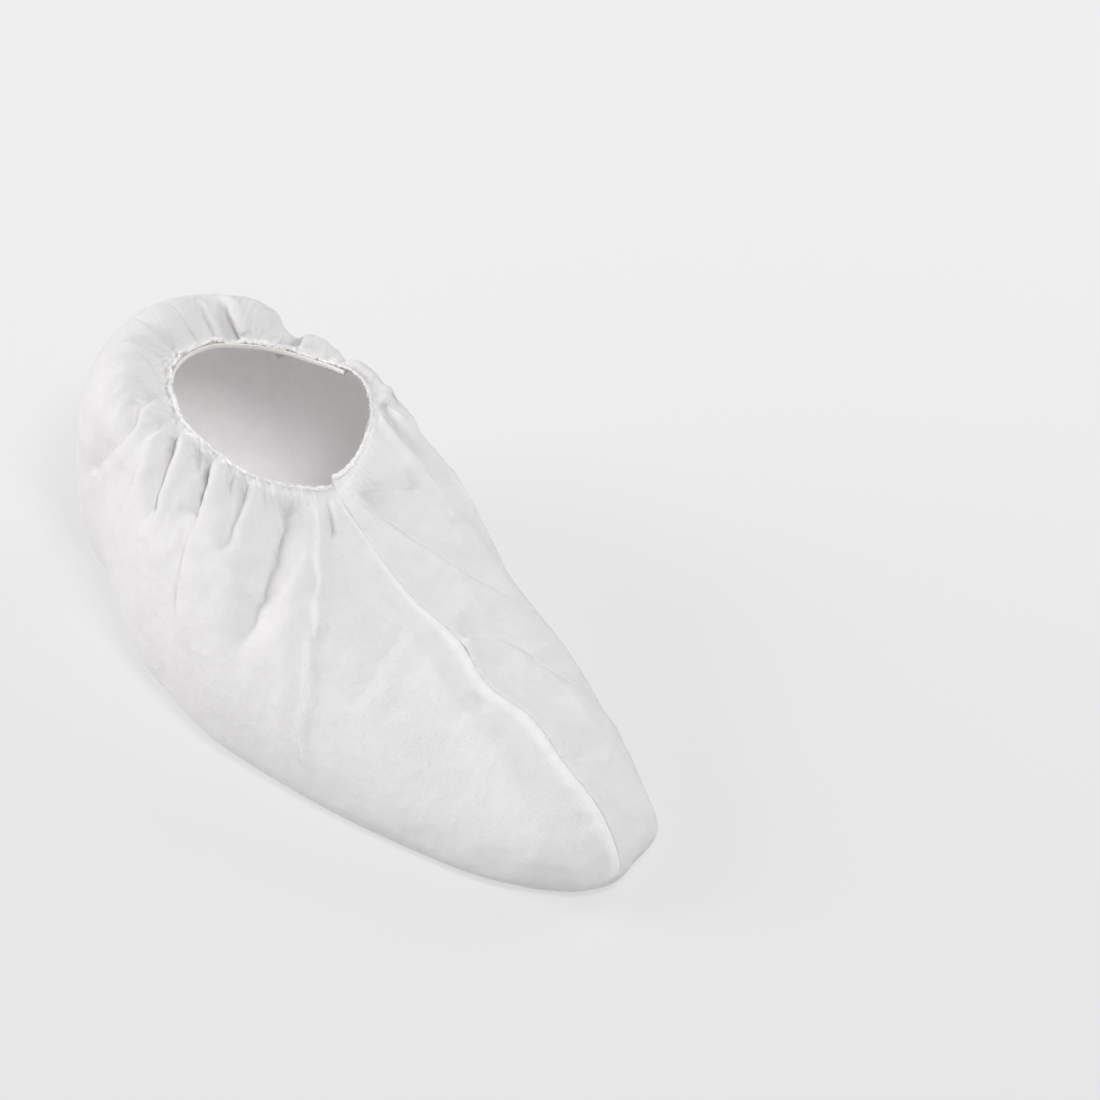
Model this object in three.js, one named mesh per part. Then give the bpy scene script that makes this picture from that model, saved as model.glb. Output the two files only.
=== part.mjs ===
// A disposable shoe cover of white non-woven cloth, standing open as if a shoe had just left it.
// Two side panels are overlocked together along one seam, which runs from the opening over the instep,
// round the toe, under the sole and up the heel. A narrow elastic gathers the opening, its ends lapped.
//
// Millimetres. +X points to the toe, +Y to the wearer's left, +Z up. The sole lies on the plane z = 0,
// and the origin is the bottom centre of the cover's box.
import * as THREE from "three";

// Cloth, seam and elastic
const CLOTH = 1.2; // thickness of the cloth wall
const SEAM_GAP = 0.3; // between the two panels all along the seam
const SEAM_Y = 6.7; // the seam lies left of the middle, because the right side is the fuller one
const SEAM_CREST = { height: 1.6, halfWidth: 6 }; // the cloth stands up a little along the seam
const OVERLOCK = { height: 4, thickness: 1.2, clearance: 1.1 }; // bound edges of both panels, inside
const HEM = 4; // height of the upright hem round the opening
const ELASTIC = { width: 3.4, thickness: 1, clearance: 0.35, drop: 0.3, lap: 12, lapStart: 0.45 };
const GATHERS = { perPanel: 11, height: 1.3, reach: 0.3 }; // small puckers that the elastic pulls up
const CORNER_ROUND = { wall: 0.6, floor: 0.55 }; // how far the wall and the floor run into the corner
const SOLE_END = 12; // the sole seam starts this far inside the cover's two ends

// How finely the cloth is divided
const COLUMNS = 66; // from the heel seam to the front seam
const ROWS = { hem: 1, upper: 13, corner: 3, sole: 1 };
const UPPER_CROWDING = 1.25; // above 1 the rows lie closer together near the opening
const RIM_POINTS = 30; // points of each panel's rim that the elastic follows
const BAND_STEPS = 110; // lengths of the elastic

// Sections of each panel. Each one runs from the opening down to the floor.
//   round  place round the opening: 0 at the heel seam, 1 at the front seam
//   rim    top of the hem: x, distance from the seam's plane, z
//   edge   widest point of the section: x, distance from the seam's plane, z
//   leave, reach  slope in degrees at which the cloth leaves the hem, and how far it holds that slope
//   wall   how far the cloth holds upright above the edge
//   tuck   how far the floor line lies inside the edge
const SECTION_COLUMNS = [
  "round", "rimX", "rimY", "rimZ", "edgeX", "edgeY", "edgeZ", "leave", "reach", "wall", "tuck",
];
const RIGHT_SECTIONS = table(SECTION_COLUMNS, [
  [0.0, -127, 0, 105, -172, 0, 40, 40, 30, 92, 12],
  [0.1, -124, 16, 105, -166, 36, 40, 42, 30, 88, 12],
  [0.22, -115, 29, 105, -144, 63, 36, 40, 30, 80, 12],
  [0.36, -98, 37, 103, -98, 76, 28, 28, 28, 66, 12],
  [0.5, -80, 38, 101, -42, 83, 20, 14, 28, 54, 12],
  [0.64, -61, 33, 98, 28, 80, 16, -2, 36, 44, 12],
  [0.78, -45, 22, 95, 94, 60, 14, -14, 55, 36, 12],
  [0.9, -35, 10, 92, 144, 34, 14, -20, 72, 32, 20],
  [0.96, -32, 4, 91, 165, 16, 13, -22, 78, 30, 23],
  [1.0, -31, 0, 91, 172, 0, 11, -23, 80, 33, 18],
]);
const LEFT_SECTIONS = table(SECTION_COLUMNS, [
  [0.0, -127, 0, 105, -172, 0, 40, 40, 30, 92, 12],
  [0.1, -124, 14, 105, -166, 32, 40, 42, 28, 84, 12],
  [0.22, -115, 27, 105, -140, 56, 36, 36, 24, 66, 12],
  [0.36, -98, 38, 105, -96, 66, 28, 20, 22, 56, 12],
  [0.5, -79, 45, 105, -42, 70, 20, 4, 20, 50, 12],
  [0.64, -59, 41, 100, 28, 66, 16, -10, 32, 42, 12],
  [0.78, -44, 27, 95, 94, 52, 14, -18, 55, 36, 12],
  [0.9, -35, 12, 92, 146, 38, 12, -21, 72, 32, 14],
  [0.94, -33, 7.5, 91, 161, 30, 11, -22, 76, 30, 14],
  [0.97, -31.5, 3.6, 91, 168, 14, 11, -23, 79, 32, 16],
  [1.0, -31, 0, 91, 172, 0, 11, -23, 80, 33, 18],
]);

// Folds. Each one follows a curve from near the opening through a middle place to where it dies out.
//   round0, down0 ... round2, down2  the three places; down is 0 at the hem and 1 at the edge
//   depth  how far the cloth dips along the curve, or stands out where it is negative
//   width  half width of the dip
const FOLD_COLUMNS = [
  "round0", "down0", "round1", "down1", "round2", "down2", "depth", "width",
];
const RIGHT_FOLDS = table(FOLD_COLUMNS, [
  [0.07, 0.1, 0.062, 0.26, 0.055, 0.48, 3, 6],
  [0.27, 0.1, 0.325, 0.4, 0.235, 0.95, 4, 10],
  [0.335, 0.09, 0.388, 0.46, 0.355, 0.92, 3, 10],
  [0.4, 0.02, 0.465, 0.3, 0.445, 0.74, 5.5, 7],
  [0.5, 0.03, 0.505, 0.25, 0.49, 0.6, -3, 7],
  [0.55, 0.02, 0.542, 0.25, 0.525, 0.8, 5.5, 7],
  [0.62, 0.03, 0.585, 0.25, 0.555, 0.6, -3, 7],
  [0.69, 0.03, 0.628, 0.26, 0.58, 0.6, 5, 7],
  [0.75, 0.03, 0.672, 0.3, 0.63, 0.6, -3, 8],
  [0.82, 0.04, 0.65, 0.43, 0.605, 0.98, 5.5, 8],
  [0.88, 0.05, 0.7, 0.5, 0.68, 0.98, 3, 8],
]);
const LEFT_FOLDS = table(FOLD_COLUMNS, [
  [0.125, 0.06, 0.11, 0.2, 0.09, 0.45, 5, 6],
  [0.175, 0.06, 0.16, 0.25, 0.14, 0.5, -4, 8],
  [0.235, 0.05, 0.22, 0.25, 0.2, 0.6, 8, 8],
  [0.31, 0.05, 0.295, 0.2, 0.28, 0.5, -4, 9],
  [0.39, 0.05, 0.37, 0.15, 0.345, 0.5, 6, 8],
  [0.47, 0.05, 0.46, 0.15, 0.44, 0.5, -3, 9],
  [0.575, 0.05, 0.562, 0.24, 0.573, 0.6, 3.5, 8],
  [0.633, 0.03, 0.68, 0.18, 0.69, 0.55, 4.5, 8],
  [0.94, 0.03, 0.86, 0.28, 0.775, 0.75, 4, 9],
  [0.94, 0.36, 0.89, 0.48, 0.84, 0.85, 3.5, 12],
]);
const FOLD_STEPS = 40; // points along a fold's curve
const FOLD_FADE = { start: 0.12, end: 0.55 }; // shares of a fold over which it rises and dies out
const HEM_HOLD = 0.1; // share of a section, below the hem, over which folds and gathers rise

// Sway of the front seam, which wanders sideways between the instep and the toe.
const SEAM_SWAY = table(["x", "y"], [
  [-31, 0],
  [32, -1.5],
  [58, 2.5],
  [82, -0.5],
  [104, 6],
  [128, 5],
  [150, 6],
  [172, 3],
]);
const SWAY_FADE = { height: 20, width: 45 }; // it dies out below this height and beyond this width

const RIGHT = { side: -1, sections: RIGHT_SECTIONS, folds: RIGHT_FOLDS };
const LEFT = { side: 1, sections: LEFT_SECTIONS, folds: LEFT_FOLDS };
const UP = new THREE.Vector3(0, 0, 1);

// A list of rows with named columns.
function table(columns, rows) {
  return rows.map((row) => Object.fromEntries(columns.map((name, i) => [name, row[i]])));
}

// The value of a column at a place between the rows, on a smooth curve through all of them.
// Where level is true the curve is level at both ends, as a shape is where it meets its mirror image.
function smoothColumn(rows, key, column, at, level) {
  const last = rows.length - 1;
  const rise = (i) => (rows[i + 1][column] - rows[i][column]) / (rows[i + 1][key] - rows[i][key]);
  const span = (i) => rows[i + 1][key] - rows[i][key];
  const slope = (i) => {
    if (i === 0) return level ? 0 : rise(0);
    if (i === last) return level ? 0 : rise(last - 1);
    return (rise(i - 1) * span(i) + rise(i) * span(i - 1)) / (span(i - 1) + span(i));
  };
  let i = 0;
  while (i < last - 1 && at > rows[i + 1][key]) i += 1;
  const s = THREE.MathUtils.clamp((at - rows[i][key]) / span(i), 0, 1);
  const rest = 1 - s;
  return (
    (1 + 2 * s) * rest * rest * rows[i][column] +
    s * rest * rest * span(i) * slope(i) +
    s * s * (3 - 2 * s) * rows[i + 1][column] -
    s * s * rest * span(i) * slope(i + 1)
  );
}

// The driving points of one section, in the panel's own plan: y is the distance from the seam's plane.
function section(panel, round) {
  const value = (name, level = true) => smoothColumn(panel.sections, "round", name, round, level);
  const rim = new THREE.Vector3(value("rimX"), value("rimY", false), value("rimZ"));
  const edge = new THREE.Vector3(value("edgeX"), value("edgeY", false), value("edgeZ"));
  const out = edge.clone().sub(rim).setZ(0).normalize();
  const leave = THREE.MathUtils.degToRad(value("leave"));
  const neck = rim.clone().addScaledVector(UP, -HEM);
  const slope = out.clone().multiplyScalar(Math.cos(leave)).addScaledVector(UP, Math.sin(leave));
  const floor = edge.clone().addScaledVector(out, -value("tuck")).setZ(0);
  return {
    rim,
    neck,
    floor,
    upper: new THREE.CubicBezierCurve3(
      neck,
      neck.clone().addScaledVector(slope, value("reach")),
      edge.clone().addScaledVector(UP, value("wall")),
      edge,
    ),
    corner: new THREE.CubicBezierCurve3(
      edge,
      edge.clone().setZ(edge.z * (1 - CORNER_ROUND.wall)),
      floor.clone().lerp(edge, CORNER_ROUND.floor).setZ(0),
      floor,
    ),
  };
}

// The places down a section where the cloth has a row of points: the stretch and the share of it.
function rowPlaces() {
  const shares = (count, from) => Array.from({ length: count }, (_, k) => (k + from) / count);
  return [
    ...shares(ROWS.hem, 0).map((share) => ({ stretch: "hem", share })),
    { stretch: "upper", share: 0 },
    ...shares(ROWS.upper, 1).map((s) => ({ stretch: "upper", share: s ** UPPER_CROWDING })),
    ...shares(ROWS.corner, 1).map((share) => ({ stretch: "corner", share })),
    ...shares(ROWS.sole, 1).map((share) => ({ stretch: "sole", share })),
  ];
}

// A panel's plain form, with no folds: rows of points from the rim to the sole seam.
function plainGrid(panel) {
  const rounds = Array.from({ length: COLUMNS }, (_, j) => j / (COLUMNS - 1));
  const sections = rounds.map((round) => section(panel, round));
  const heel = sections[0].floor.x;
  const toe = sections[COLUMNS - 1].floor.x;
  const middle = (s) =>
    new THREE.Vector3(
      THREE.MathUtils.mapLinear(s.floor.x, heel, toe, heel + SOLE_END, toe - SOLE_END),
      0,
      0,
    );
  const pointOn = {
    hem: (s, share) => s.rim.clone().lerp(s.neck, share),
    upper: (s, share) => s.upper.getPoint(share),
    corner: (s, share) => s.corner.getPoint(share),
    sole: (s, share) => s.floor.clone().lerp(middle(s), share),
  };
  return rowPlaces().map(({ stretch, share }) => sections.map((s) => pointOn[stretch](s, share)));
}

// The mean direction of a line of points at one of them.
function heading(before, point, after) {
  const step = (from, to) => to.clone().sub(from).normalize();
  return step(before, point).add(step(point, after));
}

// Outward normals of a grid. Points on the seam keep their normals in the seam's plane.
function gridNormals(grid) {
  const lastRow = grid.length - 1;
  const lastColumn = COLUMNS - 1;
  return grid.map((row, i) =>
    row.map((point, j) => {
      if (i === lastRow) return UP.clone().negate();
      const along = heading(row[Math.max(j - 1, 0)], point, row[Math.min(j + 1, lastColumn)]);
      const down = heading(grid[Math.max(i - 1, 0)][j], point, grid[Math.min(i + 1, lastRow)][j]);
      const normal = along.cross(down);
      if (j === 0 || j === lastColumn) normal.y = 0;
      return normal.normalize();
    }),
  );
}

// Points along a fold's curve on the plain form.
function foldLine(panel, fold) {
  const place = (k, name) => {
    const s = k / FOLD_STEPS;
    const early = 2 * (s - 0.5) * (s - 1);
    const middle = 4 * s * (1 - s);
    const late = 2 * s * (s - 0.5);
    return early * fold[`${name}0`] + middle * fold[`${name}1`] + late * fold[`${name}2`];
  };
  return Array.from({ length: FOLD_STEPS + 1 }, (_, k) =>
    section(panel, place(k, "round")).upper.getPoint(THREE.MathUtils.clamp(place(k, "down"), 0, 1)),
  );
}

// How far a point is pushed in by one fold: a rounded dip that rises and dies out along the curve.
function foldDip(fold, line, point) {
  let near = 0;
  line.forEach((p, k) => {
    if (p.distanceToSquared(point) < line[near].distanceToSquared(point)) near = k;
  });
  const share = near / FOLD_STEPS;
  const fade =
    THREE.MathUtils.smoothstep(share, 0, FOLD_FADE.start) *
    (1 - THREE.MathUtils.smoothstep(share, FOLD_FADE.end, 1));
  const across = line[near].distanceTo(point) / fold.width;
  return fold.depth * fade * Math.exp(-across * across);
}

// How far the gathers push the cloth out: ripples beside the hem that fade out down the section.
function gatherRise(round, place) {
  if (place.stretch !== "upper") return 0;
  const fade = Math.max(0, 1 - place.share / GATHERS.reach) * Math.sqrt(place.share / GATHERS.reach);
  return 2 * GATHERS.height * fade * Math.cos(2 * Math.PI * GATHERS.perPanel * round);
}

// How far the cloth stands up along the front seam.
function crestRise(point, place) {
  if (place.stretch !== "upper" || point.x < SEAM_SWAY[0].x) return 0;
  const across = point.y / SEAM_CREST.halfWidth;
  return SEAM_CREST.height * Math.exp(-across * across) * Math.sin(Math.PI * place.share);
}

// Takes a point from the panel's own plan into the part's frame.
function placed(panel, point) {
  const sway = smoothColumn(SEAM_SWAY, "x", "y", point.x, false);
  const above = THREE.MathUtils.smoothstep(point.z, 0, SWAY_FADE.height);
  const near = 1 - THREE.MathUtils.smoothstep(point.y, 0, SWAY_FADE.width);
  const shift = point.x > SEAM_SWAY[0].x ? sway * above * near : 0;
  return new THREE.Vector3(point.x, SEAM_Y + panel.side * (point.y + SEAM_GAP / 2) + shift, point.z);
}

// The outer and inner faces of a panel, folds and gathers included.
function panelFaces(panel) {
  const plain = plainGrid(panel);
  const places = rowPlaces();
  const lines = panel.folds.map((fold) => foldLine(panel, fold));
  const plainNormals = gridNormals(plain);
  const outer = plain.map((row, i) =>
    row.map((point, j) => {
      const place = places[i];
      if (place.stretch !== "upper") return point.clone();
      const held = THREE.MathUtils.smoothstep(place.share, 0, HEM_HOLD);
      const dip = panel.folds.reduce((sum, fold, k) => sum + foldDip(fold, lines[k], point), 0);
      const rise = gatherRise(j / (COLUMNS - 1), place) + crestRise(point, place) - dip * held;
      const moved = point.clone().addScaledVector(plainNormals[i][j], rise);
      if (j === 0 || j === COLUMNS - 1) moved.y = 0;
      return moved;
    }),
  );
  const normals = gridNormals(outer);
  const inner = outer.map((row, i) =>
    row.map((point, j) => point.clone().addScaledVector(normals[i][j], -CLOTH)),
  );
  return { outer, inner, normals };
}

// A closed solid between two grids of points whose edges are joined all round.
function solidBetween(outer, inner, flip) {
  const width = outer[0].length;
  const height = outer.length;
  const points = [...outer.flat(), ...inner.flat()];
  const at = (face, i, j) => face * width * height + i * width + j;
  const triangles = [];
  const quad = (a, b, c, d) => {
    if (flip) triangles.push(a, c, b, a, d, c);
    else triangles.push(a, b, c, a, c, d);
  };
  for (let i = 0; i < height - 1; i += 1) {
    for (let j = 0; j < width - 1; j += 1) {
      quad(at(0, i, j), at(0, i + 1, j), at(0, i + 1, j + 1), at(0, i, j + 1));
      quad(at(1, i, j), at(1, i, j + 1), at(1, i + 1, j + 1), at(1, i + 1, j));
    }
  }
  for (let j = 0; j < width - 1; j += 1) {
    quad(at(0, 0, j), at(0, 0, j + 1), at(1, 0, j + 1), at(1, 0, j));
    quad(at(0, height - 1, j), at(1, height - 1, j), at(1, height - 1, j + 1), at(0, height - 1, j + 1));
  }
  for (let i = 0; i < height - 1; i += 1) {
    quad(at(0, i, 0), at(1, i, 0), at(1, i + 1, 0), at(0, i + 1, 0));
    quad(at(0, i, width - 1), at(0, i + 1, width - 1), at(1, i + 1, width - 1), at(1, i, width - 1));
  }
  const geometry = new THREE.BufferGeometry().setFromPoints(points);
  geometry.setIndex(triangles);
  geometry.computeVertexNormals();
  return geometry;
}

// One side panel of the cover.
function panelMesh(name, panel, faces, material) {
  const outer = faces.outer.map((row) => row.map((p) => placed(panel, p)));
  const inner = faces.inner.map((row) => row.map((p) => placed(panel, p)));
  const mesh = new THREE.Mesh(solidBetween(outer, inner, panel.side > 0), material);
  mesh.name = name;
  return mesh;
}

// A strip with a four-cornered section: corners holds one list of points for each corner.
function stripGeometry(corners) {
  const [a, b, c, d] = corners;
  return solidBetween([a, b], [d, c], false);
}

// The overlocked edges of both panels, standing inside the cover along the whole seam.
function overlockMesh(faces, material) {
  const last = COLUMNS - 1;
  const soleRow = faces.inner.length - 1;
  const firstRow = ROWS.hem + 1;
  const path = [];
  for (let i = firstRow; i <= soleRow; i += 1) path.push([i, 0]);
  for (let j = 1; j <= last; j += 1) path.push([soleRow, j]);
  for (let i = soleRow - 1; i >= firstRow; i -= 1) path.push([i, last]);
  const corner = (depth, across) =>
    path.map(([i, j]) => {
      const point = faces.inner[i][j].clone().addScaledVector(faces.normals[i][j], -depth);
      const y = placed(RIGHT, faces.outer[i][j]).y + SEAM_GAP / 2 + across;
      return point.setY(y);
    });
  const top = OVERLOCK.clearance;
  const foot = OVERLOCK.clearance + OVERLOCK.height;
  const half = OVERLOCK.thickness / 2;
  const corners = [corner(top, -half), corner(top, half), corner(foot, half), corner(foot, -half)];
  const mesh = new THREE.Mesh(stripGeometry(corners), material);
  mesh.name = "overlock_seam";
  return mesh;
}

// The elastic inside the hem: an open band whose last stretch lies inside its first one.
function elasticMesh(material) {
  const rimPoint = (panel, round) => placed(panel, section(panel, round).rim);
  const shares = Array.from({ length: RIM_POINTS }, (_, k) => k / RIM_POINTS);
  const loop = new THREE.CatmullRomCurve3(
    [
      ...shares.map((s) => rimPoint(LEFT, s)),
      ...shares.map((s) => rimPoint(RIGHT, 1 - s)),
    ],
    true,
  );
  const length = loop.getLength();
  const lap = ELASTIC.lap / length;
  const start = ELASTIC.lapStart / 2;
  const stepIn = ELASTIC.thickness + ELASTIC.clearance;
  const corner = (depth, drop) =>
    Array.from({ length: BAND_STEPS + 1 }, (_, k) => {
      const run = (k / BAND_STEPS) * (1 + lap);
      const at = (start + run) % 1;
      const along = loop.getTangentAt(at);
      const inward = new THREE.Vector3(along.y, -along.x, 0).normalize();
      const lapped = stepIn * THREE.MathUtils.smoothstep(run, 1 - 2 * lap, 1 - 0.3 * lap);
      return loop
        .getPointAt(at)
        .addScaledVector(inward, CLOTH + ELASTIC.clearance + depth + lapped)
        .addScaledVector(UP, -drop);
    });
  const top = ELASTIC.drop;
  const foot = ELASTIC.drop + ELASTIC.width;
  const corners = [
    corner(0, top),
    corner(ELASTIC.thickness, top),
    corner(ELASTIC.thickness, foot),
    corner(0, foot),
  ];
  const mesh = new THREE.Mesh(stripGeometry(corners), material);
  mesh.name = "opening_elastic";
  return mesh;
}

const nonWoven = new THREE.MeshStandardMaterial({ color: 0xeae7e7, roughness: 0.9, metalness: 0 });
const overlockThread = new THREE.MeshStandardMaterial({ color: 0xf4f3f0, roughness: 0.85, metalness: 0 });
const elasticYarn = new THREE.MeshStandardMaterial({ color: 0xebe6da, roughness: 0.75, metalness: 0 });

const rightFaces = panelFaces(RIGHT);
const leftFaces = panelFaces(LEFT);
const shoeCover = new THREE.Group();
shoeCover.add(
  panelMesh("right_panel", RIGHT, rightFaces, nonWoven),
  panelMesh("left_panel", LEFT, leftFaces, nonWoven),
  overlockMesh(rightFaces, overlockThread),
  elasticMesh(elasticYarn),
);

export default shoeCover;
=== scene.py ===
"""Looks of a disposable shoe cover: gathered non-woven cloth, its overlocked seam and its elastic.

Sizes are millimetres. Meshes are made in metres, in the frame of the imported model: +X to the toe, +Y to
the wearer's left, +Z up, with the sole on z = 0.
"""

import logging
import math
from dataclasses import dataclass, field
from enum import Enum
from typing import Any

import bpy
import numpy as np
from mathutils import Matrix, Vector


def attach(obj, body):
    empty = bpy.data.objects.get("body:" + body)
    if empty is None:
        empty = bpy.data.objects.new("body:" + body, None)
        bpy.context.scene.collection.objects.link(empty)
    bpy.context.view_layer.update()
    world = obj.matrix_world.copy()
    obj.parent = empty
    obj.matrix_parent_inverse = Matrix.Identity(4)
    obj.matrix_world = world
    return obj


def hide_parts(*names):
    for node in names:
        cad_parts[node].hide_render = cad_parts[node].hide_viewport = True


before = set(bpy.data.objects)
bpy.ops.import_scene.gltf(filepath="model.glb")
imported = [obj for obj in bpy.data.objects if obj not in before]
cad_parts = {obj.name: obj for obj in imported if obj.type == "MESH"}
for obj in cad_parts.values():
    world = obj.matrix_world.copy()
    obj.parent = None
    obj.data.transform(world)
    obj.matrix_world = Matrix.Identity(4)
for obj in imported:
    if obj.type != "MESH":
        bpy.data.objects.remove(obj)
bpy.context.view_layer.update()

Array = np.ndarray
Colour = tuple[float, float, float]
Place = tuple[float, float, float]
Span = tuple[float, float]

MM = 0.001
BODY = "root"
UV_UNIT = 100.0  # millimetres of cloth in one unit of the cloth's UV map
BAND_ATTRIBUTE = "seam_band"
UP = np.array([0.0, 0.0, 1.0])
WHITE = (1.0, 1.0, 1.0, 1.0)
TUBE_END = 0.3  # radius of a thread's end beside the thread's own

log = logging.getLogger("shoe_cover")


class Side(Enum):
    """The wearer's side that a panel covers, as the sign of its y."""

    RIGHT = -1
    LEFT = 1


class Stretch(Enum):
    """Stretches of a section, from the opening to the middle of the sole."""

    HEM = 0
    UPPER = 1
    CORNER = 2
    SOLE = 3


def smoothstep(low: float, high: float, value: Array) -> Array:
    """Eases from 0 at low to 1 at high: 3 s^2 - 2 s^3 of the clamped share s.

    Args:
        low: Value at which the result is 0.
        high: Value at which the result is 1.
        value: Values to ease.

    Returns:
        An array of values from 0 to 1.
    """
    share = np.clip((np.asarray(value, float) - low) / (high - low), 0.0, 1.0)
    return share * share * (3.0 - 2.0 * share)


def bump(value: Array, width: float | Array) -> Array:
    """A rounded bump of height 1 at 0: exp(-(value / width)^2)."""
    return np.exp(-((value / width) ** 2))


def unit(vectors: Array) -> Array:
    """The vectors at length 1, along the last axis."""
    return vectors / np.maximum(np.linalg.norm(vectors, axis=-1, keepdims=True), 1e-12)


def hermite(knots: Array, values: Array, places: Array, level: bool) -> Array:
    """A smooth curve through the knots: cubic pieces whose slopes weigh the two rises beside each knot.

    Args:
        knots: Rising places of the known values.
        values: The known values.
        places: Places to work out.
        level: True for a curve that is level at both ends, as where a shape meets its mirror image.

    Returns:
        The values at the places.
    """
    span = np.diff(knots)
    rise = np.diff(values) / span
    slope = np.zeros(len(knots))
    slope[1:-1] = (rise[:-1] * span[1:] + rise[1:] * span[:-1]) / (span[:-1] + span[1:])
    if not level:
        slope[0], slope[-1] = rise[0], rise[-1]
    i = np.clip(np.searchsorted(knots, places, side="right") - 1, 0, len(span) - 1)
    s = np.clip((places - knots[i]) / span[i], 0.0, 1.0)
    rest = 1.0 - s
    return (
        (1.0 + 2.0 * s) * rest**2 * values[i]
        + s * rest**2 * span[i] * slope[i]
        + s**2 * (3.0 - 2.0 * s) * values[i + 1]
        - s**2 * rest * span[i] * slope[i + 1]
    )


def bezier(points: tuple[Array, Array, Array, Array], share: Array) -> Array:
    """A cubic Bezier curve: its four points weighed by the Bernstein polynomials of the share.

    Args:
        points: Start, two handles and end, each an array of vectors.
        share: Shares from 0 to 1 that broadcast against the vectors.

    Returns:
        The points of the curve.
    """
    s = np.asarray(share)[..., None]
    rest = 1.0 - s
    a, b, c, d = points
    return rest**3 * a + 3.0 * rest**2 * s * b + 3.0 * rest * s**2 * c + s**3 * d


def headings(points: Array, axis: int) -> Array:
    """Mean directions of lines of points: at each point, the unit steps before and after it, added.

    Args:
        points: Points with their three coordinates on the last axis.
        axis: Axis that the lines run along.

    Returns:
        Directions of the same shape, not brought to length 1.
    """
    steps = unit(np.diff(points, axis=axis))
    first = np.take(steps, [0], axis=axis)
    last = np.take(steps, [-1], axis=axis)
    return np.concatenate([first, steps], axis=axis) + np.concatenate([steps, last], axis=axis)


def lattice_noise(points: Array, cell: float, seed: int) -> Array:
    """Smooth random values from -1 to 1: random corners of a cubic lattice, eased between them.

    Args:
        points: Points with their coordinates on the last axis.
        cell: Size of a lattice cell.
        seed: Seed of the corners' random values.

    Returns:
        One value for each point.
    """
    corners = np.random.default_rng(seed).uniform(-1.0, 1.0, (64, 64, 64))
    place = points / cell + 1000.0
    low = np.floor(place).astype(int)
    share = place - low
    ease = share * share * (3.0 - 2.0 * share)
    total = np.zeros(points.shape[:-1])
    for step in np.ndindex(2, 2, 2):
        at = (low + step) % 64
        weight = np.where(np.array(step) == 1, ease, 1.0 - ease).prod(axis=-1)
        total += weight * corners[at[..., 0], at[..., 1], at[..., 2]]
    return total


@dataclass(frozen=True)
class Table:
    """Rows of numbers with named columns; the first column is the key that the rows rise along."""

    columns: tuple[str, ...]
    rows: tuple[tuple[float, ...], ...]

    def column(self, name: str) -> Array:
        """All the values of one column."""
        return np.array(self.rows, float)[:, self.columns.index(name)]

    def at(self, name: str, places: Array, level: bool = True) -> Array:
        """A column on a smooth curve along the key.

        Args:
            name: The column.
            places: Places along the key.
            level: True for a curve that is level at both ends.

        Returns:
            The column's values at the places.
        """
        return hermite(self.column(self.columns[0]), self.column(name), np.asarray(places, float), level)

    def records(self) -> list[dict[str, float]]:
        """Each row as a dictionary by column name."""
        return [dict(zip(self.columns, row)) for row in self.rows]


# Sections of the panels, from the heel seam at round 0 to the front seam at round 1: the rim, the widest
# edge, the slope at which the cloth leaves the hem and how far it holds it, how far the wall holds
# upright, and how far the floor line lies inside the edge.
SECTION_COLUMNS = (
    "round", "rim_x", "rim_y", "rim_z", "edge_x", "edge_y", "edge_z", "leave", "reach", "wall", "tuck",
)
RIGHT_SECTIONS = Table(
    SECTION_COLUMNS,
    (
        (0.0, -131, 0, 106.5, -172, 0, 40, 36, 27, 90, 12),
        (0.1, -129, 15.5, 106.5, -166, 36, 40, 40, 28, 84, 12),
        (0.22, -117, 27, 105.5, -143, 63, 36, 42, 31, 80, 12),
        (0.3, -106, 32, 104, -119, 67, 31, 36, 30, 73, 12),
        (0.36, -98, 34.5, 103, -98, 75, 28, 28, 28, 66, 12),
        (0.43, -89, 35, 102, -71, 84.5, 24, 21, 28, 60, 12),
        (0.5, -80, 34.5, 101, -42, 87, 20, 14, 28, 54, 12),
        (0.57, -70.5, 33, 99.5, -7, 87, 18, 6, 32, 49, 12),
        (0.64, -61, 31, 98, 28, 79.5, 16, -2, 36, 44, 12),
        (0.78, -45, 22, 95, 94, 58.5, 14, -14, 55, 36, 12),
        (0.895, -35.5, 10.5, 92, 142, 36.5, 13, -20, 71, 32, 17),
        (0.935, -33, 6.5, 91.4, 157, 26, 20, -21, 75.5, 28, 15),
        (0.97, -31.7, 3, 91, 166.5, 14, 13, -22, 79, 31, 18),
        (1.0, -31, 0, 91, 170, 0, 11, -23, 80, 33, 18),
    ),
)
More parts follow.
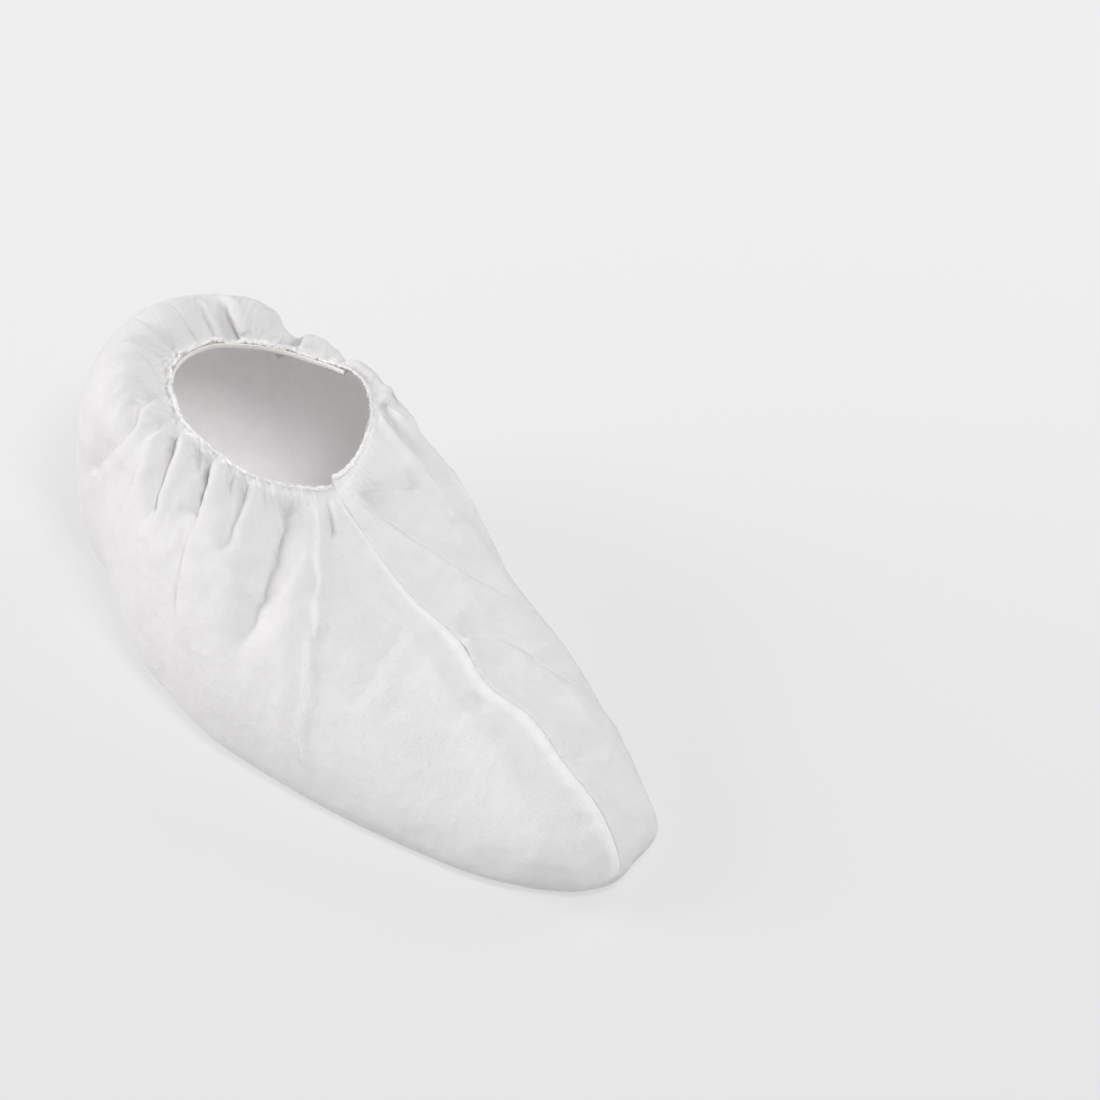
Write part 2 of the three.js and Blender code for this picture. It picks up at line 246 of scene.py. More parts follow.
LEFT_SECTIONS = Table(
    SECTION_COLUMNS,
    (
        (0.0, -131, 0, 106.5, -172, 0, 40, 36, 27, 90, 12),
        (0.1, -127, 12.5, 104.2, -166, 32, 40, 27, 24, 84, 12),
        (0.18, -121, 21.5, 103.3, -150, 49, 38, 29, 24, 72, 12),
        (0.24, -113.5, 28.5, 102.3, -134, 56, 34, -28, 17, 62, 12),
        (0.3, -106, 34, 101, -115, 61, 31, 10, 20, 60, 12),
        (0.37, -97, 39, 100.5, -92, 64, 28, -20, 17, 56, 12),
        (0.44, -88, 42.5, 101.6, -64, 65, 24, 55, 28, 52, 12),
        (0.5, -79, 44.4, 103.3, -40, 63, 20.5, 50, 27, 46, 12),
        (0.56, -70, 44.5, 103.3, -13, 63, 18, 10, 28, 47, 12),
        (0.61, -63, 42.7, 101.6, 13, 61.5, 16.5, 6, 33, 44, 12),
        (0.66, -57, 40, 99, 37, 55.5, 15, -4, 37, 40, 12),
        (0.78, -44, 27, 95, 94, 50, 14, -18, 55, 36, 12),
        (0.9, -35, 12, 92, 146, 36.5, 12, -21, 72, 32, 14),
        (0.94, -33, 7.5, 91, 160, 30, 11, -22, 76, 30, 14),
        (0.97, -31.5, 3.6, 91, 166, 13, 11, -23, 79, 32, 16),
        (1.0, -31, 0, 91, 170, 0, 11, -23, 80, 33, 18),
    ),
)

# Folds: a curve through three places on a panel, with how far the cloth dips along it, how wide it slopes
# down to it on the heel's side, how high it stands on the toe's side, the share of it that is full, and
# how wide the toe's side is beside the heel's side. A width below 0 turns a fold round, so that it slopes
# on the toe's side and stands on the heel's side.
FOLD_COLUMNS = (
    "round0", "down0", "round1", "down1", "round2", "down2", "depth", "width", "puff", "full", "wall",
)
RIGHT_FOLDS = Table(
    FOLD_COLUMNS,
    (
        (0.07, 0.04, 0.062, 0.26, 0.055, 0.48, 3.6, 5.0, 1.0, 0.6, 0.3),
        (0.125, 0.03, 0.12, 0.2, 0.125, 0.38, 3.2, 5.0, 1.0, 0.6, 0.3),
        (0.18, 0.02, 0.2, 0.3, 0.25, 0.55, 2.8, 6.0, 0.8, 0.5, 0.3),
        (0.263, 0.06, 0.337, 0.47, 0.232, 0.95, 4.6, 7.5, 1.4, 0.8, 0.3),
        (0.345, 0.08, 0.388, 0.46, 0.355, 0.9, 2.5, 8.0, 0.8, 0.6, 0.3),
        (0.4, 0.0, 0.455, 0.3, 0.432, 0.64, 6.8, 4.8, 1.4, 0.5, 0.3),
        (0.49, 0.0, 0.51, 0.08, 0.515, 0.16, 2.0, 2.6, 0.8, 0.5, 0.3),
        (0.555, 0.0, 0.55, 0.17, 0.528, 0.4, 8.0, 5.5, 1.8, 0.55, 0.3),
        (0.54, 0.3, 0.515, 0.58, 0.527, 0.92, 3.5, 9.0, 0.5, 0.6, 0.3),
        (0.625, 0.0, 0.618, 0.08, 0.6, 0.18, 1.8, 2.6, 0.8, 0.5, 0.3),
        (0.69, 0.0, 0.632, 0.2, 0.578, 0.45, 5.0, 4.5, 1.2, 0.4, 0.6),
        (0.835, 0.0, 0.672, 0.37, 0.602, 0.8, 8.5, 7.0, 0.6, 0.55, 1.1),
        (0.79, 0.17, 0.7, 0.34, 0.645, 0.5, 1.5, 6.0, 0.6, 0.6, 0.3),
        (0.885, 0.02, 0.715, 0.5, 0.68, 0.98, 1.0, 4.0, 1.5, 0.9, 0.3),
        (0.938, 0.3, 0.82, 0.46, 0.753, 0.68, 1.6, 9.0, 0.4, 0.6, 0.3),
        (0.985, 0.45, 0.93, 0.5, 0.88, 0.57, 1.6, 9.0, 0.4, 0.5, 0.3),
        (0.955, 0.0, 0.925, 0.06, 0.885, 0.12, 2.4, 2.8, 0.8, 0.6, 0.3),
    ),
)
LEFT_FOLDS = Table(
    FOLD_COLUMNS,
    (
        (0.06, 0.03, 0.055, 0.2, 0.05, 0.4, 2.0, 3.5, 0.8, 0.5, 0.3),
        (0.13, 0.02, 0.112, 0.2, 0.085, 0.45, 5.2, 5.0, 2.0, 0.6, 0.3),
        (0.238, 0.09, 0.222, 0.28, 0.2, 0.6, 7.5, -5.0, 2.0, 0.6, 0.3),
        (0.285, 0.02, 0.28, 0.1, 0.27, 0.25, 2.0, 3.5, 1.0, 0.5, 0.3),
        (0.395, 0.13, 0.342, 0.2, 0.275, 0.4, 5.0, -5.0, 1.4, 0.5, 0.3),
        (0.58, 0.12, 0.567, 0.3, 0.575, 0.5, 1.6, 6.0, 0.6, 0.5, 0.6),
        (0.633, 0.02, 0.68, 0.18, 0.69, 0.52, 4.0, 5.0, 1.4, 0.6, 0.3),
        (0.968, 0.01, 0.85, 0.08, 0.743, 0.21, 2.2, 3.5, 0.8, 0.8, 0.3),
        (0.955, 0.02, 0.88, 0.22, 0.795, 0.5, 3.0, 6.0, 1.4, 0.6, 0.3),
        (0.985, 0.33, 0.905, 0.46, 0.855, 0.66, 3.2, 8.0, 1.6, 0.6, 0.3),
        (0.985, 0.63, 0.96, 0.65, 0.93, 0.69, 1.8, 7.0, 0.8, 0.5, 0.3),
    ),
)

# Sideways sway of the front seam between the instep and the toe.
SEAM_SWAY = Table(
    ("x", "y"),
    ((-31, 0), (32, -1.5), (58, 2.5), (82, -0.5), (104, 6), (128, 5), (150, 6), (172, 3)),
)


@dataclass(frozen=True)
class CoverSizes:
    """Sizes that the pieces of the cover share."""

    cloth: float = 0.5
    hem: float = 2.0
    hem_flare: float = 0.9
    seam_y: float = 6.7
    seam_gap: float = 0.03
    sole_end: float = 12.0
    corner_wall: float = 0.6
    corner_floor: float = 0.55
    sway_height: float = 20.0
    sway_width: float = 45.0
    heel_sway: float = 1.3
    heel_wave: float = 62.0
    heel_span: Span = (-150.0, -115.0)


@dataclass(frozen=True)
class SectionPoints:
    """Driving points of some sections, each an array of vectors."""

    rim: Array
    neck: Array
    leave: Array
    stand: Array
    edge: Array
    floor: Array


class PlainForm:
    """A panel before it gathers and folds. In its own plan y is the distance from the seam's plane."""

    def __init__(self, sections: Table, sizes: CoverSizes) -> None:
        """Keeps the panel's table of sections and the shared sizes."""
        self.sections = sections
        self.sizes = sizes

    def points(self, rounds: Array) -> SectionPoints:
        """The driving points of sections: the table's smooth columns, with handles along the slopes.

        Args:
            rounds: Places round the opening.

        Returns:
            The points of one section for each place.
        """

        def value(name: str, level: bool = True) -> Array:
            """A column of the table at the places."""
            return self.sections.at(name, rounds, level)

        rim = np.stack([value("rim_x"), value("rim_y", False), value("rim_z")], axis=-1)
        edge = np.stack([value("edge_x"), value("edge_y", False), value("edge_z")], axis=-1)
        out = unit((edge - rim) * (1.0, 1.0, 0.0))
        slope = np.radians(value("leave"))[..., None]
        neck = rim + self.sizes.hem * (self.sizes.hem_flare * out - UP)
        leave = neck + value("reach")[..., None] * (np.cos(slope) * out + np.sin(slope) * UP)
        stand = edge + value("wall")[..., None] * UP
        floor = (edge - value("tuck")[..., None] * out) * (1.0, 1.0, 0.0)
        return SectionPoints(rim, neck, leave, stand, edge, floor)

    def upper(self, rounds: Array, downs: Array) -> Array:
        """Points of the upper stretch: a Bezier curve from the neck to the edge.

        Args:
            rounds: Places round the opening.
            downs: Places down the section, 0 at the neck and 1 at the edge, of the same shape.

        Returns:
            One point for each pair of places.
        """
        p = self.points(np.asarray(rounds, float))
        return bezier((p.neck, p.leave, p.stand, p.edge), np.asarray(downs, float))

    def grid(self, rounds: Array, shares: dict[Stretch, Array]) -> Array:
        """The whole form: the hem and sole are straight lines, the upper and corner Bezier curves.

        Args:
            rounds: Places round the opening, one for each column.
            shares: Places along each stretch, one for each row.

        Returns:
            Points by row, column and coordinate.
        """
        p = self.points(rounds)
        heel, toe = p.floor[0, 0], p.floor[-1, 0]
        along = (p.floor[:, 0] - heel) / (toe - heel)
        middle = np.zeros_like(p.floor)
        middle[:, 0] = heel + self.sizes.sole_end + along * (toe - heel - 2.0 * self.sizes.sole_end)
        wall = p.edge * (1.0, 1.0, 1.0 - self.sizes.corner_wall)
        turn = (p.floor + self.sizes.corner_floor * (p.edge - p.floor)) * (1.0, 1.0, 0.0)

        def line(start: Array, end: Array, share: Array) -> Array:
            """Rows of points on straight lines from start to end."""
            return start + share[:, None, None] * (end - start)

        return np.concatenate(
            [
                line(p.rim, p.neck, shares[Stretch.HEM]),
                bezier((p.neck, p.leave, p.stand, p.edge), shares[Stretch.UPPER][:, None]),
                bezier((p.edge, wall, turn, p.floor), shares[Stretch.CORNER][:, None]),
                line(p.floor, middle, shares[Stretch.SOLE]),
            ]
        )


def placed(points: Array, side: Side, sizes: CoverSizes) -> Array:
    """Takes points from a panel's own plan into the frame: the side's sign, the seam's place and its sway.

    The front seam sways along a table, and the heel seam as a sine of the height. Both fade towards the
    floor and away from the seam.

    Args:
        points: Points in the panel's own plan.
        side: The panel's side.
        sizes: Shared sizes.

    Returns:
        The points in the frame.
    """
    x, y, z = np.moveaxis(points, -1, 0)
    sway = SEAM_SWAY.at("y", x, False) * (x > SEAM_SWAY.rows[0][0])
    wave = np.sin(2.0 * np.pi * z / sizes.heel_wave)
    sway += sizes.heel_sway * wave * (1.0 - smoothstep(*sizes.heel_span, x))
    sway *= smoothstep(0.0, sizes.sway_height, z) * (1.0 - smoothstep(0.0, sizes.sway_width, y))
    return np.stack([x, sizes.seam_y + side.value * (y + sizes.seam_gap / 2.0) + sway, z], axis=-1)


def grid_normals(points: Array) -> Array:
    """Outward normals of a panel's grid: its heading along each row crossed with that down each column.

    Args:
        points: Points by row, column and coordinate, in the panel's own plan.

    Returns:
        Normals of length 1. On the seam they lie in the seam's plane.
    """
    normals = np.cross(headings(points, 1), headings(points, 0))
    normals[:, [0, -1], 1] = 0.0
    normals[-1] = -UP
    return unit(normals)


def grid_faces(rows: int, columns: int, flip: bool) -> Array:
    """Corner numbers of the four-sided faces of a grid.

    Args:
        rows: Rows of points.
        columns: Columns of points.
        flip: True to turn the faces round.

    Returns:
        One row of four numbers for each face.
    """
    number = np.arange(rows * columns).reshape(rows, columns)
    corners = [number[:-1, :-1], number[1:, :-1], number[1:, 1:], number[:-1, 1:]]
    faces = np.stack(corners, axis=-1).reshape(-1, 4)
    return faces[:, ::-1] if flip else faces


@dataclass(frozen=True)
class Shape:
    """Points and faces of a shape before it becomes a mesh, the faces in blocks of equal corner counts."""

    points: Array
    faces: tuple[Array, ...]

    @staticmethod
    def joined(shapes: "list[Shape]") -> "Shape":
        """Several shapes as one, with the corner numbers of each moved past the points before it.

        Args:
            shapes: The shapes.

        Returns:
            The joined shape.
        """
        starts = np.cumsum([0] + [len(shape.points) for shape in shapes])
        blocks = [block + start for shape, start in zip(shapes, starts) for block in shape.faces]
        return Shape(np.concatenate([shape.points for shape in shapes]), tuple(blocks))


def ringed_tubes(rings: Array) -> Shape:
    """Tubes through rings of points: four-sided faces join the rings, and a face closes each end.

    Args:
        rings: Points by tube, step, side and coordinate. Seen along the tube, the sides run clockwise.

    Returns:
        The tubes as one shape.
    """
    paths, steps, sides, _ = rings.shape
    number = np.arange(paths * steps * sides).reshape(paths, steps, sides)
    before, after = number[:, :-1], number[:, 1:]
    corners = [before, np.roll(before, -1, axis=2), np.roll(after, -1, axis=2), after]
    walls = np.stack(corners, axis=-1).reshape(-1, 4)
    return Shape(rings.reshape(-1, 3), (walls, number[:, 0, ::-1], number[:, -1]))


def round_tubes(centre: Array, radius: float, sides: int) -> Shape:
    """Round tubes along lines of points: rings square to each line, narrow at both ends.

    Args:
        centre: Points by line, step and coordinate.
        radius: The tubes' radius.
        sides: Points of each ring.

    Returns:
        The tubes as one shape.
    """
    ahead = unit(headings(centre, 1))
    first = unit(np.cross(ahead, UP + 0.01))
    second = np.cross(ahead, first)
    angle = (2.0 * np.pi * np.arange(sides) / sides)[:, None]
    ring = np.cos(angle) * first[:, :, None] + np.sin(angle) * second[:, :, None]
    size = np.full(centre.shape[1], radius)
    size[[0, -1]] *= TUBE_END
    return ringed_tubes(centre[:, :, None] + size[:, None, None] * ring)


def new_object(name: str, shape: Shape) -> bpy.types.Object:
    """A smooth mesh object at the origin.

    Args:
        name: Name of the object and its mesh.
        shape: Points in millimetres, and faces.

    Returns:
        The object, linked to the scene.
    """
    mesh = bpy.data.meshes.new(name)
    faces = [face for block in shape.faces for face in block.tolist()]
    mesh.from_pydata((shape.points * MM).tolist(), [], faces)
    mesh.polygons.foreach_set("use_smooth", np.ones(len(mesh.polygons), bool))
    mesh.update()
    made = bpy.data.objects.new(name, mesh)
    bpy.context.scene.collection.objects.link(made)
    return made


class Field:
    """A shader value that Python's operators extend with Math nodes."""

    def __init__(self, tree: "ShaderTree", socket: bpy.types.NodeSocket) -> None:
        """Keeps the tree and the output socket that holds the value."""
        self.tree = tree
        self.socket = socket

    def math(self, operation: str, *others: "Field | float") -> "Field":
        """A Math node of this value and others.

        Args:
            operation: Blender's name of the operation.
            others: The node's further values.

        Returns:
            The node's result.
        """
        values = dict(enumerate((self, *others)))
        return self.tree.value("ShaderNodeMath", {"operation": operation}, values)

    def __add__(self, other: "Field | float") -> "Field":
        """This value plus another."""
        return self.math("ADD", other)

    __radd__ = __add__

    def __sub__(self, other: "Field | float") -> "Field":
        """This value minus another."""
        return self.math("SUBTRACT", other)

    def __rsub__(self, other: float) -> "Field":
        """A number minus this value."""
        return self.tree.value("ShaderNodeMath", {"operation": "SUBTRACT"}, {0: other, 1: self})

    def __mul__(self, other: "Field | float") -> "Field":
        """This value times another."""
        return self.math("MULTIPLY", other)

    __rmul__ = __mul__

    def ease(self, low: float, high: float) -> "Field":
        """Eases from 0 at low to 1 at high with a Map Range node.

        Args:
            low: Value at which the result is 0.
            high: Value at which the result is 1.

        Returns:
            The eased value.
        """
        settings = {"interpolation_type": "SMOOTHSTEP"}
        inputs = {"Value": self, "From Min": low, "From Max": high}
        return self.tree.value("ShaderNodeMapRange", settings, inputs)


class NodeTree:
    """Nodes of a material or a world, cleared at the start."""

    def __init__(self, nodes: bpy.types.NodeTree) -> None:
        """Clears the nodes."""
        self.nodes = nodes
        nodes.nodes.clear()

    def add(
        self,
        kind: str,
        settings: dict[str, Any] | None = None,
        inputs: dict[str | int, Any] | None = None,
    ) -> bpy.types.Node:
        """Adds one node of any type.

        Args:
            kind: The node's type.
            settings: The node's own settings, which are set first.
            inputs: Values or links of its sockets.

        Returns:
            The node.
        """
        node = self.nodes.nodes.new(kind)
        for name, value in (settings or {}).items():
            setattr(node, name, value)
        for name, value in (inputs or {}).items():
            source = value.socket if isinstance(value, Field) else value
            if isinstance(source, bpy.types.NodeSocket):
                self.nodes.links.new(source, node.inputs[name])
            else:
                node.inputs[name].default_value = source
        return node


@dataclass(frozen=True)
class Grain:
    """One scale of a finish's noise: size in millimetres, octaves, weights in brightness and height."""

    size: float
    detail: float = 2.0
    roughness: float = 0.5
    light: float = 0.0
    height: float = 0.0


class ShaderTree(NodeTree):
    """A material's nodes, ending in a Principled shader that may be mixed with a Translucent one."""

    def __init__(self, name: str) -> None:
        """Makes an empty material.

        Args:
            name: The material's name.
        """
        self.material = bpy.data.materials.new(name)
        self.material.use_nodes = True
        super().__init__(self.material.node_tree)

    def value(
        self, kind: str, settings: dict[str, Any] | None = None, inputs: dict[str | int, Any] | None = None
    ) -> Field:
        """Adds a node and wraps its first output that is switched on.

        Args:
            kind: The node's type.
            settings: The node's own settings.
            inputs: Values or links of its sockets.

        Returns:
            The output as a value.
        """
        node = self.add(kind, settings, inputs)
        return Field(self, next(s for s in node.outputs if s.enabled))

    def noise(self, coordinates: bpy.types.NodeSocket, unit_size: float, grain: Grain) -> Field:
        """A Noise texture's factor, from 0 to 1.

        Args:
            coordinates: Socket of the coordinates.
            unit_size: Millimetres in one unit of the coordinates.
            grain: The noise's size and octaves.

        Returns:
            The factor.
        """
        inputs = {
            "Vector": coordinates,
            "Scale": unit_size / grain.size,
            "Detail": grain.detail,
            "Roughness": grain.roughness,
        }
        return self.value("ShaderNodeTexNoise", {}, inputs)

    def bump(self, height: Field, strength: float, depth: float) -> bpy.types.NodeSocket:
        """A Bump node's normal.

        Args:
            height: Height of the surface.
            strength: Share of the bump that shows.
            depth: Depth of one unit of height, in millimetres.

        Returns:
            The normal's socket.
        """
        inputs = {"Strength": strength, "Distance": depth * MM, "Height": height}
        return self.add("ShaderNodeBump", {}, inputs).outputs[0]

    def tint(self, factor: Field | float, low: Colour, high: Colour) -> bpy.types.NodeSocket:
        """A mix of two colours.

        Args:
            factor: 0 for the first colour and 1 for the second.
            low: First colour.
            high: Second colour.

        Returns:
            The colour's socket.
        """
        inputs = {0: factor, 6: (*low, 1.0), 7: (*high, 1.0)}
        return self.add("ShaderNodeMix", {"data_type": "RGBA"}, inputs).outputs[2]

    def finish(
        self, principled: dict[str, Any], through: Field | None = None, shine: Colour = (1, 1, 1)
    ) -> None:
        """Joins the shaders to the output.

        Args:
            principled: Values or links of the Principled shader's sockets.
            through: Share of light that passes through the cloth, or None for a solid.
            shine: Colour of that light.
        """
        surface = self.add("ShaderNodeBsdfPrincipled", {}, principled).outputs[0]
        if through is not None:
            behind = self.add("ShaderNodeBsdfTranslucent", {}, {"Color": (*shine, 1.0)}).outputs[0]
            surface = self.add("ShaderNodeMixShader", {}, {0: through, 1: surface, 2: behind}).outputs[0]
        self.add("ShaderNodeOutputMaterial", {}, {"Surface": surface})


@dataclass(frozen=True)
class NonWovenCloth:
    """Finish of the panels: white spunbond cloth with bond dots, crumples and a cloudy lay of fibres."""

    bright: Colour = (0.978, 0.98, 0.988)
    dull: Colour = (0.86, 0.856, 0.866)
    clouds: Grain = Grain(14.0, 4.0, 0.6, light=1.0)
    streaks: Grain = Grain(3.2, 4.0, 0.65, light=0.9, height=0.8)
    fibres: Grain = Grain(0.7, 3.0, 0.7, light=0.8, height=0.6)
    crumple: Grain = Grain(13.0, height=-4.5)
    dot_pitch: float = 1.5
    dot_edge: Span = (0.1, 0.9)
    dot_light: float = -0.2
    dot_height: float = -0.4
    dot_gloss: float = 0.12
    mean_light: float = 0.6
    band_light: float = 0.35
    roughness: float = 0.88
    bump_strength: float = 0.55
    bump_depth: float = 0.4
    through: float = 0.385
    layer_loss: float = 0.34
    shine: Colour = (0.95, 0.935, 0.925)

    def material(self) -> bpy.types.Material:
        """Builds the material: brightness is clouds, streaks and fibres, less bond dots, plus the band.

        The dots are the eased product of two cosines. The crumple is |2 noise - 1|, whose valleys are
        sharp creases. The band of the seam and hem, where the cloth lies double, lets less light through.

        Returns:
            The material.
        """
        tree = ShaderTree("non_woven_cloth")
        cloth = tree.add("ShaderNodeUVMap", {"uv_map": "cloth"}).outputs["UV"]
        here = tree.add("ShaderNodeTexCoord").outputs["Object"]
        parts = tree.add("ShaderNodeSeparateXYZ", {}, {0: cloth})
        turn = 2.0 * math.pi * UV_UNIT / self.dot_pitch
        across = Field(tree, parts.outputs["X"]) * turn
        down = Field(tree, parts.outputs["Y"]) * turn
        dots = (across.math("COSINE") * down.math("COSINE")).ease(*self.dot_edge)
        clouds = tree.noise(cloth, UV_UNIT, self.clouds)
        streaks = tree.noise(cloth, UV_UNIT, self.streaks)
        fibres = tree.noise(cloth, UV_UNIT, self.fibres)
        crumple = (tree.noise(here, 1.0 / MM, self.crumple) * 2.0 - 1.0).math("ABSOLUTE")
        marked = tree.add("ShaderNodeAttribute", {"attribute_name": BAND_ATTRIBUTE})
        band = Field(tree, marked.outputs["Fac"])
        light = (clouds - 0.5) * self.clouds.light + (streaks - 0.5) * self.streaks.light
        light = light + (fibres - 0.5) * self.fibres.light + dots * self.dot_light
        light = light + self.mean_light + band * self.band_light
        light = light.math("MAXIMUM", 0.0).math("MINIMUM", 1.0)
        height = fibres * self.fibres.height + streaks * self.streaks.height
        height = height + dots * self.dot_height + crumple * self.crumple.height
        tree.finish(
            {
                "Base Color": tree.tint(light, self.dull, self.bright),
                "Roughness": self.roughness - dots * self.dot_gloss,
                "Normal": tree.bump(height, self.bump_strength, self.bump_depth),
                "Specular IOR Level": 0.25,
                "Sheen Weight": 0.12,
                "Sheen Roughness": 0.6,
            },
            self.through * (1.0 - band * (streaks + 0.5) * self.layer_loss),
            self.shine,
        )
        return tree.material


@dataclass(frozen=True)
class ElasticYarn:
    """Finish of the elastic: ivory braid with ribs along it, whose grooves are darkened with painted
    shade.
    """

    rib: Colour = (0.93, 0.905, 0.87)
    # painted shade: colour of the braid's grooves, where its bump dips
    groove: Colour = (0.78, 0.745, 0.7)
    rib_pitch: float = 0.8
    pick_pitch: float = 1.1
    pick_share: float = 0.6
    relief: float = 0.3
    braid_shade: float = 0.8
    fuzz: Grain = Grain(0.5, 3.0, light=0.4)
    roughness: Span = (0.75, 0.9)
    bump_strength: float = 0.5
    bump_depth: float = 0.2

    def material(self) -> bpy.types.Material:
        """Builds the material: ribs along the band, a cosine across it, are crossed by picks of the braid.
        The colour follows the braid's height, so its grooves get painted shade.

        Returns:
            The material.
        """
        tree = ShaderTree("elastic_yarn")
        band = tree.add("ShaderNodeUVMap", {"uv_map": "cloth"}).outputs["UV"]
        parts = tree.add("ShaderNodeSeparateXYZ", {}, {0: band})
        along = Field(tree, parts.outputs["X"]) * (2.0 * math.pi * UV_UNIT / self.pick_pitch)
        across = Field(tree, parts.outputs["Y"]) * (2.0 * math.pi * UV_UNIT / self.rib_pitch)
        braid = (across.math("COSINE") + along.math("COSINE") * self.pick_share) * self.relief + 0.5
        fuzz = tree.noise(band, UV_UNIT, self.fuzz)
        low, high = self.roughness
        tree.finish(
            {
                # painted shade: the low places of the braid take the darker groove colour
                "Base Color": tree.tint(
                    braid * self.braid_shade + fuzz * self.fuzz.light, self.groove, self.rib
                ),
                "Roughness": low + fuzz * (high - low),
                "Normal": tree.bump(braid, self.bump_strength, self.bump_depth),
            }
        )
        return tree.material


@dataclass(frozen=True)
class OverlockThread:
    """Finish of the stitching: white textured thread."""

    bright: Colour = (0.93, 0.925, 0.915)
    dull: Colour = (0.82, 0.81, 0.8)
    fuzz: Grain = Grain(0.6, 3.0, 0.7)
    roughness: Span = (0.8, 0.95)
    bump_strength: float = 0.5
    bump_depth: float = 0.2

    def material(self) -> bpy.types.Material:
        """Builds the material: fine noise over the thread.

        Returns:
            The material.
        """
        tree = ShaderTree("overlock_thread")
        here = tree.add("ShaderNodeTexCoord").outputs["Object"]
        fuzz = tree.noise(here, 1.0 / MM, self.fuzz)
        low, high = self.roughness
        tree.finish(
            {
                "Base Color": tree.tint(fuzz, self.dull, self.bright),
                "Roughness": low + fuzz * (high - low),
                "Normal": tree.bump(fuzz, self.bump_strength, self.bump_depth),
            }
        )
        return tree.material


@dataclass(frozen=True)
class StudioPaper:
    """Finish of the floor: pale matt paper that glows, so that hardly a shadow shows."""

    tone: Colour = (0.2, 0.201, 0.203)
    shade: Colour = (0.194, 0.195, 0.197)
    clouds: Grain = Grain(500.0)
    glow: float = 0.651
    near_glow: Colour = (0.862, 0.862, 0.865)
    far_glow: Colour = (1.0, 1.0, 1.0)
    away: Place = (-0.79, 0.61, 0.0)
    fade: Span = (-0.3, 0.5)

    def material(self) -> bpy.types.Material:
        """Builds the material: a very faint cloud, and a glow that eases from the near to the far end.

        Returns:
            The material.
        """
        tree = ShaderTree("studio_paper")
        here = tree.add("ShaderNodeTexCoord").outputs["Object"]
        far = tree.value("ShaderNodeVectorMath", {"operation": "DOT_PRODUCT"}, {0: here, 1: self.away})
        tree.finish(
            {
                "Base Color": tree.tint(tree.noise(here, 1.0 / MM, self.clouds), self.shade, self.tone),
                "Roughness": 0.9,
                "Specular IOR Level": 0.1,
                "Emission Color": tree.tint(far.ease(*self.fade), self.near_glow, self.far_glow),
                "Emission Strength": self.glow,
            }
        )
        return tree.material


@dataclass(frozen=True)
class ClothSettling:
    """A sheet that settles: a grid of springs that are brought towards their lengths step by step.

    In each step every free point is carried on by part of its last move and drawn towards the form that it
    holds. Then each spring moves its two ends towards its rest length. The springs join each point to its
    neighbours along the row and down the column, across the cell, and two points away, which resists
    bends. No point goes below the floor or past the seam's plane.
    """

    carry: float = 0.9
    pull: float = 0.9
    shear: float = 0.3
    bend: float = 0.35

    def springs(self) -> tuple[tuple[int, int, float], ...]:
        """The kinds of springs.

        Returns:
            Rows and columns to each kind's other end, and the share of its error that is mended in a step.
        """
        return (
            (0, 1, self.pull),
            (1, 0, self.pull),
            (1, 1, self.shear),
            (1, -1, self.shear),
            (0, 2, self.bend),
            (2, 0, self.bend),
        )

    @staticmethod
    def ends(down: int, along: int) -> list[tuple[tuple[slice, ...], tuple[slice, ...]]]:
        """Slices of the two ends of a kind of spring, in sets that share no point.

        Args:
            down: Rows from one end to the other.
            along: Columns from one end to the other.

        Returns:
            Pairs of slices, each pair for one set of springs.
        """
        step = max(down, abs(along))
        sets = []
        for first in range(2 * step):
            if down:
                rows = (slice(first, -down, 2 * step), slice(first + down, None, 2 * step))
                columns = {0: (slice(None), slice(None)), 1: (slice(None, -1), slice(1, None))}
                low, high = columns[abs(along)] if along >= 0 else columns[1][::-1]
                sets.append(((rows[0], low), (rows[1], high)))
            else:
                low = slice(first, -along, 2 * step)
                sets.append(((slice(None), low), (slice(None), slice(first + along, None, 2 * step))))
        return sets

    def rest(self, plain: Array, excess: Array, down: int, along: int) -> list[Array]:
        """Rest lengths of one kind of spring: plain lengths, with the row's share stretched by the excess.

        Args:
            plain: Points of the plain form.
            excess: Cloth's length along the row beside the plain form's, at each point.
            down: Rows from one end to the other.
            along: Columns from one end to the other.

        Returns:
            Lengths for each set that ends() gives.
        """
        lengths = []
        row = np.gradient(plain, axis=1) * along
        for low, high in self.ends(down, along):
            span = plain[high] - plain[low]
            more = (excess[low] + excess[high]) / 2.0 - 1.0
            part = (row[low] + row[high]) / 2.0
            square = (span**2).sum(-1) + 2.0 * more * (span * part).sum(-1) + more**2 * (part**2).sum(-1)
            lengths.append(np.sqrt(np.maximum(square, 1e-9)))
        return lengths

    def settle(
        self, start: Array, target: Array, excess: Array, hold: Array, free: Array, steps: int
    ) -> Array:
        """Lets the sheet settle.

        Args:
            start: Points at the start.
            target: The form that the sheet holds, which gives the rest lengths.
            excess: Cloth's length along the row beside the target's, at each point.
            hold: Share of the way to the target that a point is drawn in a step.
            free: 1 for free points and 0 for fixed ones.
            steps: Steps to take.

        Returns:
            The settled points.
        """
        points = start.copy()
        before = points.copy()
        kinds = []
        for down, along, share in self.springs():
            for ends, length in zip(self.ends(down, along), self.rest(target, excess, down, along)):
                weight = np.maximum(free[ends[0]] + free[ends[1]], 1e-6)
                kinds.append((*ends, length, share / weight))
        for _ in range(steps):
            move = self.carry * (points - before)
            before = points.copy()
            points += free[..., None] * (move + hold[..., None] * (target - points))
            for low, high, length, share in kinds:
                span = points[high] - points[low]
                size = np.maximum(np.linalg.norm(span, axis=-1), 1e-6)
                mend = (share * (size - length) / size)[..., None] * span
                points[low] += free[low][..., None] * mend
                points[high] -= free[high][..., None] * mend
            np.maximum(points[..., 1:], 0.0, out=points[..., 1:])
        return points


